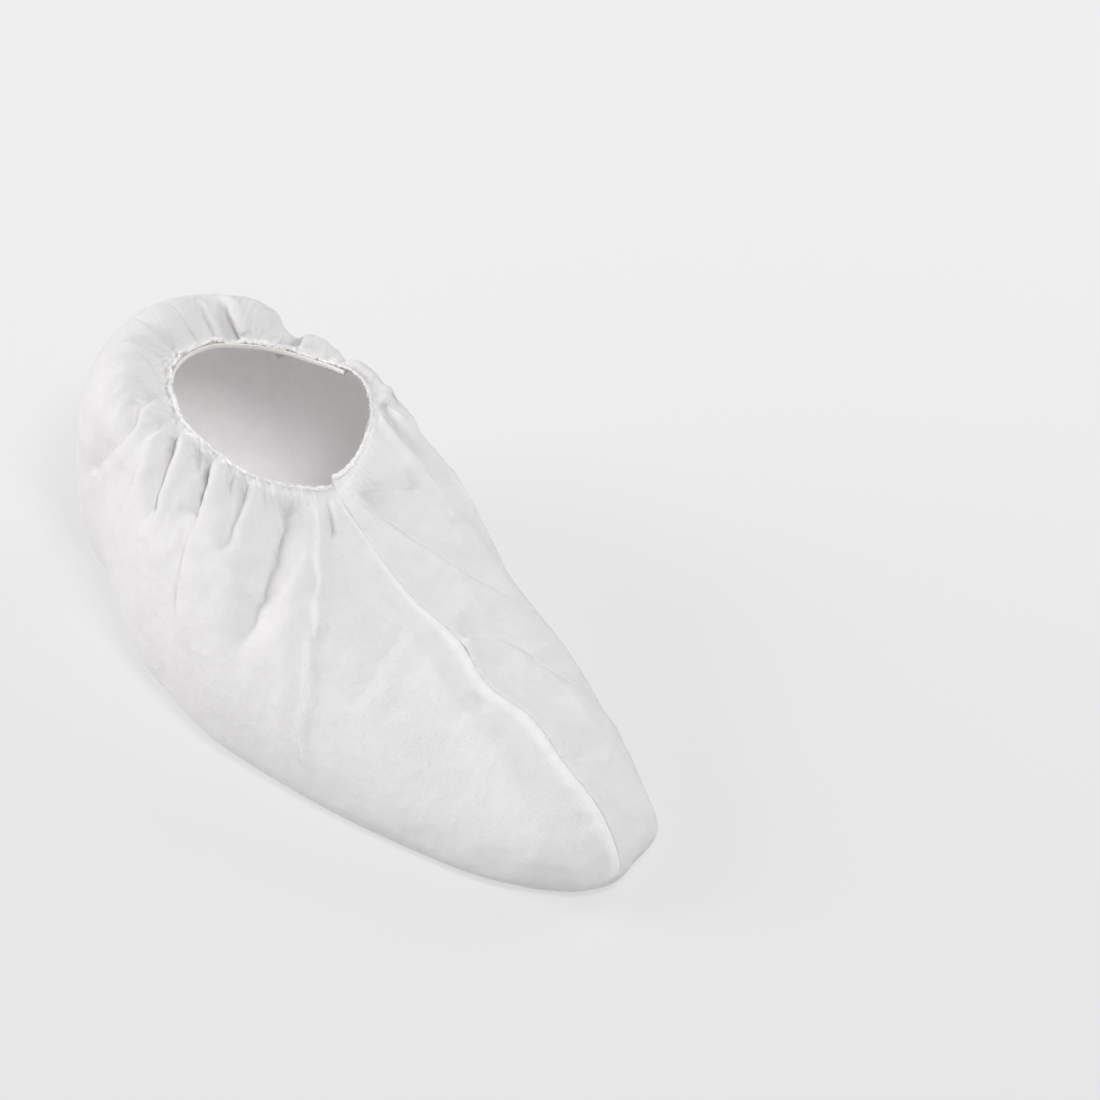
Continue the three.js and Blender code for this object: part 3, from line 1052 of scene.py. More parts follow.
def finer(moves: Array) -> Array:
    """Twice as fine a grid of moves: new points are the means of their neighbours.

    Args:
        moves: Moves by row, column and coordinate.

    Returns:
        The finer grid, with one point more between each two.
    """
    for axis in (0, 1):
        first = np.swapaxes(moves, 0, axis)
        full = np.empty((2 * len(first) - 1, *first.shape[1:]))
        full[::2] = first
        full[1::2] = (first[:-1] + first[1:]) / 2.0
        moves = np.swapaxes(full, 0, axis)
    return moves


@dataclass(frozen=True)
class Gathers:
    """A set of pleats along the rim of a panel, with the least and most of each size."""

    count: int
    height: Span
    width: Span
    reach: Span


@dataclass
class SidePanel:
    """One side panel: its plain form with folds, gathers, crinkles and the marks of the seam."""

    name: str
    side: Side
    sections: Table
    folds: Table
    seed: int
    front_calm: float
    front_span: Span
    front_lift: float
    sizes: CoverSizes
    flat_size: Span = (0.19, 0.42)
    flat_area: float = 0.068
    columns: int = 337
    rows: dict[Stretch, int] = field(
        default_factory=lambda: {
            Stretch.HEM: 8,
            Stretch.UPPER: 96,
            Stretch.CORNER: 12,
            Stretch.SOLE: 8,
        }
    )
    seam_crowding: float = 0.6
    upper_crowding: float = 1.35
    # Folds
    fold_end: float = 1.5
    fold_steps: int = 60
    fold_rise: float = 0.06
    fold_lean: float = 0.24
    fold_wall: float = 1.5
    fold_wander: float = 0.006
    hem_hold: float = 0.03
    # Gathers at the rim
    gathers: tuple[Gathers, ...] = (
        Gathers(42, (0.8, 1.9), (0.7, 1.2), (2.5, 7.0)),
        Gathers(17, (0.9, 2.4), (1.6, 2.6), (7.0, 16.0)),
    )
    gather_jitter: float = 0.38
    gather_drift: float = 0.0006
    gather_spread: float = 0.03
    gather_depth: float = 60.0
    rim_share: float = 0.5
    rim_length: float = 136.0
    rim_rest: float = 6.0
    puff_height: float = 2.2
    puff_reach: float = 7.0
    # Settling
    gather: float = 0.25
    gather_reach: float = 13.0
    heel_calm: float = 0.2
    heel_span: Span = (0.15, 0.3)
    lift_span: Span = (0.84, 1.0)
    hold: Span = (0.004, 0.03)
    hold_span: Span = (0.35, 1.0)
    seam_hold: float = 0.3
    seam_hold_width: float = 9.0
    free_span: Span = (-0.7, 1.75)
    settle_skips: tuple[int, int, int] = (4, 2, 1)
    settle_steps: tuple[int, int, int] = (300, 200, 100)
    settle_slack: tuple[float, float, float] = (0.5, 0.75, 0.75)
    # Unevenness
    loose_start: Span = (0.0, 0.25)
    loose_end: Span = (0.9, 1.3)
    crinkle: float = 0.1
    crinkle_cells: Span = (7.0, 3.5)
    crinkle_end: Span = (1.2, 1.8)
    crinkle_clear: float = 10.0
    rumple: float = 2.6
    rumple_cells: Span = (17.0, 8.0)
    rumple_mean: float = 0.27
    patch_cell: float = 45.0
    patch_span: Span = (-0.3, 0.5)
    swell: float = 1.2
    swell_cell: float = 38.0
    # Seam
    crest_height: float = 1.6
    crest_width: float = 6.0
    groove_depth: float = 0.3
    groove_width: float = 0.6
    pucker_height: float = 0.3
    pucker_pitch: float = 6.5
    pucker_reach: float = 4.0
    pucker_rise: float = 1.5
    pucker_wander: float = 2.5
    wander_cell: float = 11.0
    band_width: Span = (1.82, 5.2)
    band_span: Span = (0.0, 70.0)
    band_wander: float = 0.9
    band_edge: Span = (0.5, 1.4)
    band_height: float = 0.5
    band_rise: float = 2.4
    hem_band: float = 0.05

    def __post_init__(self) -> None:
        """Sets out the grid's rows and columns and the plain form."""
        self._surface: tuple[Array, Array] | None = None
        even = np.linspace(0.0, 1.0, self.columns)
        self.rounds = even - self.seam_crowding * np.sin(2.0 * np.pi * even) / (2.0 * np.pi)
        self.form = PlainForm(self.sections, self.sizes)
        self.shares = {
            stretch: np.linspace(0.0, 1.0, count + 1)[1:] for stretch, count in self.rows.items()
        }
        self.shares[Stretch.HEM] = np.linspace(0.0, 1.0, self.rows[Stretch.HEM], endpoint=False)
        self.shares[Stretch.UPPER] = (
            np.linspace(0.0, 1.0, self.rows[Stretch.UPPER] + 1) ** self.upper_crowding
        )
        self.down = np.concatenate(
            [
                self.shares[Stretch.HEM] - 1.0,
                self.shares[Stretch.UPPER],
                1.0 + self.shares[Stretch.CORNER],
                2.0 + self.shares[Stretch.SOLE],
            ]
        )[:, None]

    def run(self) -> Array:
        """Length of cloth from the neck down each column of the plain form, less than 0 on the hem.

        Returns:
            One length for each point of the grid.
        """
        plain = self.form.grid(self.rounds, self.shares)
        steps = np.linalg.norm(np.diff(plain, axis=0), axis=-1)
        whole = np.concatenate([np.zeros((1, self.columns)), np.cumsum(steps, axis=0)])
        return whole - whole[self.rows[Stretch.HEM]]

    def fold_moves(self, points: Array, normals: Array) -> Array:
        """Moves of all the folds, held off the hem.

        Args:
            points: The plain grid.
            normals: Its normals.

        Returns:
            The move of each point.
        """
        reached = (self.down[:, 0] > 0.0) & (self.down[:, 0] < self.fold_end)
        flat = points[reached].reshape(-1, 3)
        facing = normals[reached].reshape(-1, 3)
        total = np.zeros_like(flat)
        for fold in self.folds.records():
            total += self._one_fold(fold, flat, facing)
        moves = np.zeros_like(points)
        moves[reached] = total.reshape(-1, *points.shape[1:])
        return moves * smoothstep(0.0, self.hem_hold, self.down)[..., None]

    def _one_fold(self, fold: dict[str, float], flat: Array, facing: Array) -> Array:
        """Moves of one fold: a slope on the heel's side ends at a steep step on the toe's side.

        The fold's curve is the parabola through its three places. With s the distance across it in widths,
        the dip is exp(-|s|^1.2) before it and exp(-(s / wall)^2) past it, or less steep where that would
        be too narrow a wall. A puff stands 0.75 widths past it and leans back over it, and a lower one
        stands 2.2 widths before it. All ease in and out. A fold that is turned round counts s the other
        way.

        Args:
            fold: The fold's row.
            flat: Points of the plain form.
            facing: Their normals.

        Returns:
            One move for each point.
        """
        s = np.linspace(0.0, 1.0, self.fold_steps)
        weights = np.stack([2.0 * (s - 0.5) * (s - 1.0), 4.0 * s * (1.0 - s), 2.0 * s * (s - 0.5)])
        rounds = sum(weights[k] * fold[f"round{k}"] for k in range(3))
        downs = sum(weights[k] * fold[f"down{k}"] for k in range(3))
        spread = np.stack([s * 9.0, rounds * 90.0, downs * 9.0], axis=-1)
        wander = self.fold_wander * lattice_noise(spread, 2.0, 7)
        line = self.form.upper(rounds + wander, np.clip(downs, 0.0, 1.0))
        ahead = unit(headings(line, 0))
        step = np.linalg.norm(np.diff(line, axis=0), axis=1).mean()
        apart = (flat**2).sum(1)[:, None] + (line**2).sum(1) - 2.0 * flat @ line.T
        near = apart.argmin(axis=1)
        off = flat - line[near]
        along = (off * ahead[near]).sum(axis=1)
        width = abs(fold["width"])
        aside = np.sign(fold["width"]) * unit(np.cross(ahead[near], facing))
        flank = (off * aside).sum(axis=1)
        far = np.linalg.norm(off - along[:, None] * ahead[near], axis=1)
        across = np.where(flank < 0.0, -far, far) / width
        share = (near + along / step) / (self.fold_steps - 1)
        fade = smoothstep(0.0, self.fold_rise, share) * (1.0 - smoothstep(fold["full"], 1.0, share))
        wall = max(fold["wall"], self.fold_wall / width)
        dip = np.where(across < 0.0, np.exp(-(np.abs(across) ** 1.2)), bump(across, wall))
        puff = bump(across - 0.75, 0.6) + 0.4 * bump(across + 2.2, 1.0)
        height = fade * (fold["puff"] * puff - fold["depth"] * dip)
        lean = fade * self.fold_lean * fold["depth"] * bump(across - 0.45, 0.45)
        return height[:, None] * facing - lean[:, None] * aside

    def gather_heights(self) -> Array:
        """Pleats that the elastic pulls up: rounded ridges that fan out from the rim and die away.

        Each pleat is a bump across the section, as wide as the rim leaves it and wider further down, times
        exp(-run / reach). At the rim the pleats have part of their height, and below it the cloth puffs
        out. Both rest at the seams.

        Returns:
            The height of each point of the grid.
        """
        rng = np.random.default_rng(self.seed)
        run = self.run()
        below = np.clip(run, 0.0, self.gather_depth)
        total = np.zeros((len(self.down), self.columns))
        for pleats in self.gathers:
            jitter = rng.uniform(-self.gather_jitter, self.gather_jitter, pleats.count)
            spread = (np.arange(pleats.count) + 0.5 + jitter) / pleats.count
            height = rng.uniform(*pleats.height, pleats.count)
            width = rng.uniform(*pleats.width, pleats.count) / self.rim_length
            reach = rng.uniform(*pleats.reach, pleats.count)
            drift = rng.normal(0.0, self.gather_drift, pleats.count)
            for k in range(pleats.count):
                away = self.rounds - spread[k] - drift[k] * below
                ridge = bump(away, width[k] * (1.0 + self.gather_spread * below))
                total += height[k] * ridge * np.exp(-below / reach[k])
        upper = self.down < 1.0
        level = (total - total.mean(axis=1, keepdims=True)) * upper
        level *= self.rim_share + (1.0 - self.rim_share) * smoothstep(-self.sizes.hem, 0.0, run)
        level *= 1.0 - self.front_calm * smoothstep(*self.front_span, self.rounds)
        puff = self.puff_height * smoothstep(-self.sizes.hem, 1.0, run) * np.exp(-below / self.puff_reach)
        sides = smoothstep(0.0, self.rim_rest, self.form.points(self.rounds).rim[:, 1])
        return (level + puff * upper) * sides

    def rumples(self, points: Array) -> Array:
        """Sharp small creases in patches: the mean of |lattice noise| less its value, at two sizes.

        Args:
            points: The plain grid.

        Returns:
            The height of each point.
        """
        patch = smoothstep(*self.patch_span, lattice_noise(points, self.patch_cell, self.seed + 6))
        large = np.abs(lattice_noise(points, self.rumple_cells[0], self.seed + 2))
        small = np.abs(lattice_noise(points, self.rumple_cells[1], self.seed + 7))
        return self.rumple * patch * (self.rumple_mean - large + 0.5 * (self.rumple_mean - small))

    def seam_heights(self, points: Array) -> tuple[Array, Array]:
        """Marks of the seams: a groove, a sine of puckers that fades beside it, a raised band in front.

        Args:
            points: The plain grid.

        Returns:
            The height of each point, and how much of the pale band of the seam and hem covers it.
        """
        x, y, z = np.moveaxis(points, -1, 0)
        upper = (self.down > 0.0) & (self.down < 1.0)
        front = upper & (self.rounds > 0.5)
        wander = lattice_noise(points, self.wander_cell, self.seed + 5)
        along = np.where(self.rounds > 0.5, x, z)
        ripple = np.sin(2.0 * np.pi * along / self.pucker_pitch + self.pucker_wander * wander)
        fade = np.exp(-y / self.pucker_reach) * smoothstep(0.0, self.pucker_rise, y)
        groove = -self.groove_depth * bump(y, self.groove_width)
        least, most = self.band_width
        edge = least + (most - least) * smoothstep(*self.band_span, x) + self.band_wander * wander
        band = 1.0 - smoothstep(self.band_edge[0] * edge, self.band_edge[1] * edge, y)
        band = band * front * (self.side is Side.RIGHT)
        ridge = self.band_height * band * smoothstep(0.0, self.band_rise, y)
        hem = 1.0 - smoothstep(0.0, self.hem_band, self.down)
        heights = upper * (self.pucker_height * ripple * fade + groove) + ridge
        return heights, np.maximum(band, hem)

    def surface(self) -> tuple[Array, Array]:
        """The finished outer face: the folded form gathers, settles as cloth and gets the seam's marks.

        Returns:
            Points in the panel's own plan, and the seam's band at each.
        """
        if self._surface is None:
            plain = self.form.grid(self.rounds, self.shares)
            normals = grid_normals(plain)
            settled = self.settled(plain, normals)
            marks, band = self.seam_heights(plain)
            coarse, fine = self.crinkle_cells
            noise = lattice_noise(plain, coarse, self.seed + 3)
            noise += 0.5 * lattice_noise(plain, fine, self.seed + 4)
            loose = smoothstep(*self.loose_start, self.down)
            loose = loose * (1.0 - smoothstep(*self.crinkle_end, self.down))
            loose = loose * smoothstep(0.0, self.crinkle_clear, plain[..., 1])
            marks = marks + self.crinkle * loose * noise
            moved = settled + marks[..., None] * grid_normals(settled)
            moved[:, [0, -1], 1] = 0.0
            self._surface = (np.maximum(moved, (-1e3, 0.0, 0.0)), band)
        return self._surface

    def folded(self, plain: Array, normals: Array) -> Array:
        """The form that the cloth holds: the plain one with folds, swells, rumples and the seam's crest.

        Args:
            plain: The plain grid.
            normals: Its normals.

        Returns:
            The folded grid.
        """
        loose = smoothstep(*self.loose_start, self.down) * (1.0 - smoothstep(*self.loose_end, self.down))
        clear = smoothstep(0.0, self.seam_hold_width, plain[..., 1])
        soft = self.swell * lattice_noise(plain, self.swell_cell, self.seed + 1) * clear
        crest = self.crest_height * bump(plain[..., 1], self.crest_width) * (self.rounds > 0.5)
        crest = crest * np.sin(np.pi * np.clip(self.down, 0.0, 1.0))
        rumple = self.rumples(plain) * clear * loose
        raised = np.clip(-self.down, 0.0, 1.0) * smoothstep(*self.lift_span, self.rounds)
        target = plain + self.fold_moves(plain, normals) + self.front_lift * raised[..., None] * UP
        return target + (loose * soft + crest + rumple)[..., None] * normals

    def settled(self, plain: Array, normals: Array) -> Array:
        """The gathered cloth at rest, settled on a coarse grid first and then on finer ones.

        The cloth is longer than the folded form along each row by the gather at the rim, which fades with
        exp(-run / gather_reach), so it buckles into folds that grow out of the dips of the fold table.

        Args:
            plain: The plain grid.
            normals: Its normals.

        Returns:
            The settled grid.
        """
        target = self.folded(plain, normals)
        gathered = self.gather_heights()[..., None] * normals
        below = np.clip(self.run(), 0.0, None)
        front = 1.0 - self.front_calm * smoothstep(*self.front_span, self.rounds)
        heel = 1.0 - self.heel_calm * (1.0 - smoothstep(*self.heel_span, self.rounds))
        excess = self.gather * front * heel * np.exp(-below / self.gather_reach) * (self.down < 1.0)
        hold = self.hold[0] + (self.hold[1] - self.hold[0]) * smoothstep(*self.hold_span, self.down)
        hold = hold + self.seam_hold * (1.0 - smoothstep(0.0, self.seam_hold_width, plain[..., 1]))
        free = np.ones(excess.shape)
        free[(self.down[:, 0] < self.free_span[0]) | (self.down[:, 0] > self.free_span[1])] = 0.0
        free[:, [0, -1]] = 0.0
        moves = np.zeros_like(plain[:: self.settle_skips[0], :: self.settle_skips[0]])
        for skip, steps, share in zip(self.settle_skips, self.settle_steps, self.settle_slack):
            part = (slice(None, None, skip), slice(None, None, skip))
            refined = skip < self.settle_skips[0]
            base = target[part] + (gathered[part] if refined else 0.0)
            start = base + (finer(moves) if refined else moves)
            slack = 1.0 + share * excess[part]
            ended = ClothSettling().settle(start, target[part], slack, hold[part], free[part], steps)
            moves = ended - base
        return target + gathered + moves

    def cloth_map(self) -> Array:
        """The cloth's flat coordinates: lengths along each row from its middle, and down each column.

        Returns:
            Two coordinates for each point of the grid, in units of UV_UNIT.
        """
        points = self.form.grid(self.rounds, self.shares)
        across = np.linalg.norm(np.diff(points, axis=1), axis=-1)
        u = np.concatenate([np.zeros((len(points), 1)), np.cumsum(across, axis=1)], axis=1)
        u -= u[:, [self.columns // 2]]
        along = np.linalg.norm(np.diff(points, axis=0), axis=-1)
        v = np.concatenate([np.zeros((1, self.columns)), np.cumsum(along, axis=0)])
        return np.stack([u, v], axis=-1) / UV_UNIT

    def build(self) -> bpy.types.Object:
        """Makes the panel's mesh with its cloth map and seam band, and gives it the cloth's thickness.

        Returns:
            The panel.
        """
        points, band = self.surface()
        rows, columns = points.shape[:2]
        faces = grid_faces(rows, columns, self.side is Side.LEFT)
        outer = placed(points, self.side, self.sizes).reshape(-1, 3)
        made = new_object(f"{self.name}_cloth", Shape(outer, (faces,)))
        corners = faces.reshape(-1)
        layer = made.data.uv_layers.new(name="cloth")
        layer.data.foreach_set("uv", self.cloth_map().reshape(-1, 2)[corners].ravel())
        attribute = made.data.attributes.new(BAND_ATTRIBUTE, "FLOAT", "POINT")
        attribute.data.foreach_set("value", band.astype(np.float32).ravel())
        wall = made.modifiers.new("cloth", "SOLIDIFY")
        wall.thickness = self.sizes.cloth * MM
        wall.offset = -1.0
        return made

    def dress(self, made: bpy.types.Object, finish: bpy.types.Material) -> None:
        """Gives the panel its cloth, hangs it on the body and hides the imported part that it replaces.

        Args:
            made: The panel.
            finish: The cloth's material.
        """
        made.data.materials.append(finish)
        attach(made, BODY)
        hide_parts(self.name)
        log.info("%s: %d points, gathered and folded", self.name, len(made.data.vertices))


@dataclass(frozen=True)
class LevelLine:
    """A line at equal steps round the opening, clockwise seen from above."""

    points: Array
    closed: bool = False
    look: int = 4

    @classmethod
    def even(cls, points: Array, steps: int, closed: bool) -> "LevelLine":
        """A line sampled again at equal lengths.

        Args:
            points: Points of the line; a closed one ends where it starts.
            steps: Points wanted.
            closed: True for a closed line.

        Returns:
            The new line.
        """
        run = np.concatenate([[0.0], np.cumsum(np.linalg.norm(np.diff(points, axis=0), axis=1))])
        places = np.linspace(0.0, run[-1], steps)
        return cls(np.stack([np.interp(places, run, points[:, k]) for k in range(3)], axis=-1), closed)

    def eased(self, reach: int) -> "LevelLine":
        """A closed line averaged over its neighbouring points, whose weights fall off as a bell.

        Args:
            reach: Points on either side that still count.

        Returns:
            The new line.
        """
        steps = np.arange(-reach, reach + 1)
        weight = np.exp(-0.5 * (2.0 * steps / reach) ** 2)
        turned = np.stack([np.roll(self.points[:-1], step, axis=0) for step in steps])
        mean = np.tensordot(weight / weight.sum(), turned, axes=1)
        return LevelLine(np.concatenate([mean, mean[:1]]), True)

    def length(self) -> float:
        """The line's length."""
        return float(np.linalg.norm(np.diff(self.points, axis=0), axis=1).sum())

    def at(self, share: Array) -> tuple[Array, Array, Array]:
        """Places on the line, between its points.

        Args:
            share: Shares of the whole line, which may run past 1 on a closed one.

        Returns:
            Points, directions along the line, and level directions outward from the opening.
        """
        last = len(self.points) - 1
        place = (share % 1.0 if self.closed else np.clip(share, 0.0, 1.0)) * last
        low = np.minimum(np.floor(place).astype(int), last - 1)
        part = (place - low)[..., None]
        points = self.points[low] * (1.0 - part) + self.points[low + 1] * part
        reach = np.stack([low - self.look, low + self.look])
        reach = reach % last if self.closed else np.clip(reach, 0, last)
        along = unit(self.points[reach[1]] - self.points[reach[0]])
        return points, along, unit(np.cross(UP, along))


class RimLine:
    """Lines round the opening, from the heel along the left side to the front and back on the right."""

    def __init__(self, panels: dict[Side, SidePanel], steps: int = 720, ease: int = 30) -> None:
        """Works out the finished rim of each panel, both as one loop, and that loop eased for the elastic.

        Args:
            panels: The two panels.
            steps: Points of the loop.
            ease: Points on either side that the elastic's loop is eased over.
        """
        rims = {side: placed(p.surface()[0][0], side, p.sizes) for side, p in panels.items()}
        bound = np.concatenate([rims[Side.LEFT][:-1], rims[Side.RIGHT][::-1]])
        bound[-1] = bound[0]
        self.bound = LevelLine.even(bound, steps, True)
        self.loop = self.bound.eased(ease)
        self.rims = {
            Side.LEFT: LevelLine.even(rims[Side.LEFT], steps // 2, False),
            Side.RIGHT: LevelLine.even(rims[Side.RIGHT][::-1], steps // 2, False),
        }


@dataclass
class OpeningElastic:
    """The elastic of the hem: a cord in the rolled edge, then a bare flat band that laps its start."""

    rim: RimLine
    width: float = 2.4
    thickness: float = 0.8
    inset: float = 1.35
    drop: float = 0.5
    bare: Span = (0.62, 0.74)
    cord: float = 0.5
    cord_drop: float = 0.45
    lap: float = 12.0
    lap_start: float = 0.21
    end_droop: float = 0.4
    steps: int = 420
    ribs: int = 4
    rib_height: float = 0.1

    def build(self) -> bpy.types.Object:
        """Makes the band: a ribbed oblong carried along the eased rim, drooping at its end.

        Its first stretch is drawn together to a cord in the rolled edge, and eases out to the full band.

        Returns:
            The elastic.
        """
        length = self.rim.loop.length()
        lap = self.lap / length
        run = np.linspace(0.0, 1.0 + lap, self.steps)
        points, _, out = self.rim.loop.at(self.lap_start + run)
        end = smoothstep(1.0, 1.0 + lap, run)
        across, level = self._profile()
        inward = (self.inset + self.thickness * across)[:, None]
        lowered = (self.drop + self.end_droop * end)[:, None] + self.width * level
        band = points[:, None] - inward * out[:, None] - lowered[..., None] * UP
        points, _, out = self.rim.bound.at(self.lap_start + run)
        inward = self.cord * across[:, None]
        lowered = self.cord_drop + self.cord * (level[:, None] - 0.5)
        cord = points[:, None] - inward * out[:, None] - lowered * UP
        band = cord + smoothstep(*self.bare, run)[:, None, None] * (band - cord)
        made = new_object("opening_elastic_band", ringed_tubes(band[None]))
        self._map(made, run * length)
        return made

    def _profile(self) -> tuple[Array, Array]:
        """The band's section: an oblong with rounded ribs on its inner face.

        Returns:
            Shares of the thickness, from 0 on the outer face, and shares of the width, from 0 at the top.
        """
        level = np.linspace(0.0, 1.0, 6 * self.ribs + 1)
        rib = self.rib_height / self.thickness
        crown = 1.0 - rib * (1.0 + 2.0 * (2.0 * level - 1.0) ** 2)
        inner = crown + rib * np.abs(np.sin(np.pi * self.ribs * level))
        return np.concatenate([inner, [0.0, 0.0]]), np.concatenate([level, [0.98, 0.02]])

    def _map(self, made: bpy.types.Object, run: Array) -> None:
        """Lays the band's length and width out as its UV map.

        Args:
            made: The elastic.
            run: Length of the band at each ring.
        """
        _, level = self._profile()
        u, v = np.meshgrid(run, level * self.width, indexing="ij")
        flat = np.stack([u, v], axis=-1).reshape(-1, 2) / UV_UNIT
        corners = np.zeros(len(made.data.loops), int)
        made.data.loops.foreach_get("vertex_index", corners)
        made.data.uv_layers.new(name="cloth").data.foreach_set("uv", flat[corners].ravel())

    def dress(self, made: bpy.types.Object, finish: bpy.types.Material) -> None:
        """Gives the elastic its yarn, hangs it on the body and hides the imported part that it replaces.

        Args:
            made: The elastic.
            finish: The yarn's material.
        """
        made.data.materials.append(finish)
        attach(made, BODY)
        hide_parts("opening_elastic")
        log.info("%s: %d points along the opening", made.name, len(made.data.vertices))


@dataclass
class RimOverlock:
    """The overlocked edge of the opening: a rolled fluffy edge, loops of thread, ties to the elastic.

    Counts are those of one panel's rim. Turns are angles round the rolled edge, from 0 on its outer side.
    """

    rim: RimLine
    seed: int = 41
    roll: float = 1.0
    roll_out: float = -0.25
    roll_rise: float = -0.45
    roll_steps: int = 560
    roll_sides: int = 10
    roll_lump: float = 0.34
    roll_swell: float = 0.3
    roll_cells: tuple[float, float, float] = (5.0, 0.8, 2.0)
    roll_thin: float = 0.6
    thin_place: Span = (0.68, 0.2)
    roll_thick: float = 0.6
    thick_place: Span = (1.0, 0.09)
    roll_end: float = 1.6
    loops: int = 115
    loop_thread: float = 0.16
    loop_turn: Span = (-0.9, 3.6)
    loop_size: Span = (0.88, 1.06)
    loop_slip: Span = (0.2, 0.2)
    loop_jitter: float = 0.35
    tie_pitch: float = 2.4
    tie_thread: float = 0.15
    tie_span: Span = (-0.2, -2.3)
    tie_top: float = 1.05
    tie_fall: float = 1.2
    tie_slip: float = 0.5
    tie_jitter: float = 0.3
    tied: dict[Side, float] = field(default_factory=lambda: {Side.LEFT: 0.46, Side.RIGHT: 0.15})
    fibres: int = 1500
    fibre_thread: float = 0.035
    fibre_length: Span = (0.4, 1.3)
    fibre_turn: Span = (-0.3, 3.5)
    fibre_root: float = 0.8
    fibre_stray: float = 0.5

    def build(self) -> bpy.types.Object:
        """Makes the edges of both panels as one mesh of tubes.

        Returns:
            The stitching.
        """
        parts = []
        for side, line in self.rim.rims.items():
            rng = np.random.default_rng(self.seed + side.value)
            parts += [self._roll(line, side), self._loops(line, rng), self._ties(line, side, rng)]
            parts.append(self._fuzz(line, rng))
        return new_object("rim_overlock", Shape.joined(parts))

    def _roll(self, line: LevelLine, side: Side) -> Shape:
        """The rolled edge: a tube along the rim, lumpy from three sizes of noise, with a round front end.

        Args:
            line: The panel's rim.
            side: The panel's side.

        Returns:
            The roll.
        """
        share = np.linspace(0.0, 1.0, self.roll_steps)
        points, _, out = line.at(share)
        angle = (2.0 * np.pi * np.arange(self.roll_sides) / self.roll_sides)[:, None]
        ring = np.cos(angle) * out[:, None] + np.sin(angle) * UP
        front = line.length() * (1.0 - share if side is Side.LEFT else share) / self.roll_end
        end = np.sqrt(1.0 - np.clip(1.0 - front, 0.0, 0.999) ** 2)
        long, short, middling = self.roll_cells
        swell = self.roll * end * (1.0 + self.roll_swell * lattice_noise(points, long, self.seed + 3))
        if side is Side.LEFT:
            swell *= 1.0 - self.roll_thin * bump(share - self.thin_place[0], self.thin_place[1])
            swell *= 1.0 + self.roll_thick * bump(share - self.thick_place[0], self.thick_place[1])
        middle = points + self.roll_out * out + self.roll_rise * UP
        tube = middle[:, None] + swell[:, None, None] * ring
        lumps = lattice_noise(tube, short, self.seed + 4)
        lumps += 0.8 * lattice_noise(tube, middling, self.seed + 5)
        return ringed_tubes((tube + (self.roll_lump * end[:, None] * lumps)[..., None] * ring)[None])

    def _loops(self, line: LevelLine, rng: np.random.Generator) -> Shape:
        """Loops of thread: round arches from the cloth's outer face over the rolled edge to its inner one.

        Args:
            line: The panel's rim.
            rng: Source of random numbers.

        Returns:
            The loops.
        """
        jitter = rng.uniform(-self.loop_jitter, self.loop_jitter, self.loops)
        share = (np.arange(self.loops) + 0.5 + jitter) / self.loops
        turn = np.linspace(*self.loop_turn, 8)
        size = self.roll * rng.uniform(*self.loop_size, self.loops)[:, None]
        slip = rng.normal(*self.loop_slip, self.loops)[:, None] * (turn - 1.5)
        points, along, out = line.at(share)
        across = self.roll_out + size * np.cos(turn)
        lift = self.roll_rise + size * np.sin(turn)
        arch = across[..., None] * out[:, None] + lift[..., None] * UP + slip[..., None] * along[:, None]
        return round_tubes(points[:, None] + arch, self.loop_thread, 4)

    def _ties(self, line: LevelLine, side: Side, rng: np.random.Generator) -> Shape:
        """Ties of thread: drawn from the top of the rolled edge over the gap to the top of the elastic.

        Args:
            line: The panel's rim.
            side: The panel's side.
            rng: Source of random numbers.

        Returns:
            The ties.
        """
        count = int(self.tied[side] * line.length() / self.tie_pitch)
        jitter = rng.uniform(-self.tie_jitter, self.tie_jitter, count)
        share = self.tied[side] * (np.arange(count) + 0.5 + jitter) / count
        points, along, out = line.at(share if side is Side.LEFT else 1.0 - share)
        s = np.linspace(0.0, 1.0, 7)
        across = self.tie_span[0] + (self.tie_span[1] - self.tie_span[0]) * s
        lift = self.roll_rise + self.roll * (self.tie_top - self.tie_fall * s**1.5)
        slip = rng.normal(0.0, self.tie_slip, count)[:, None] * s
        arch = across[:, None] * out[:, None] + lift[:, None] * UP + slip[..., None] * along[:, None]
        return round_tubes(points[:, None] + arch, self.tie_thread, 4)

    def _fuzz(self, line: LevelLine, rng: np.random.Generator) -> Shape:
        """Loose fibres: thin tubes that leave the rolled edge in random directions and bend over.

        Args:
            line: The panel's rim.
            rng: Source of random numbers.

        Returns:
            The fibres.
        """
        points, along, out = line.at(rng.uniform(0.0, 1.0, self.fibres))
        turn = rng.uniform(*self.fibre_turn, self.fibres)[:, None]
        leave = np.cos(turn) * out + np.sin(turn) * UP
        drift = leave + rng.normal(0.0, self.fibre_stray, self.fibres)[:, None] * along
        length = rng.uniform(*self.fibre_length, self.fibres)[:, None, None]
        share = np.linspace(0.0, 1.0, 5)[None, :, None]
        curl = rng.normal(0.0, self.fibre_stray, (self.fibres, 1, 3))
        root = points + self.roll_out * out + self.roll_rise * UP + self.fibre_root * self.roll * leave
        strands = root[:, None] + length * (share * drift[:, None] + share**2 * curl)
        return round_tubes(strands, self.fibre_thread, 3)

    def dress(self, made: bpy.types.Object, finish: bpy.types.Material) -> None:
        """Gives the stitching its thread and lets it ride on the cover.

        Args:
            made: The stitching.
            finish: The thread's material.
        """
        made.data.materials.append(finish)
        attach(made, BODY)
        log.info("%s: %d loops on each side of the opening", made.name, self.loops)


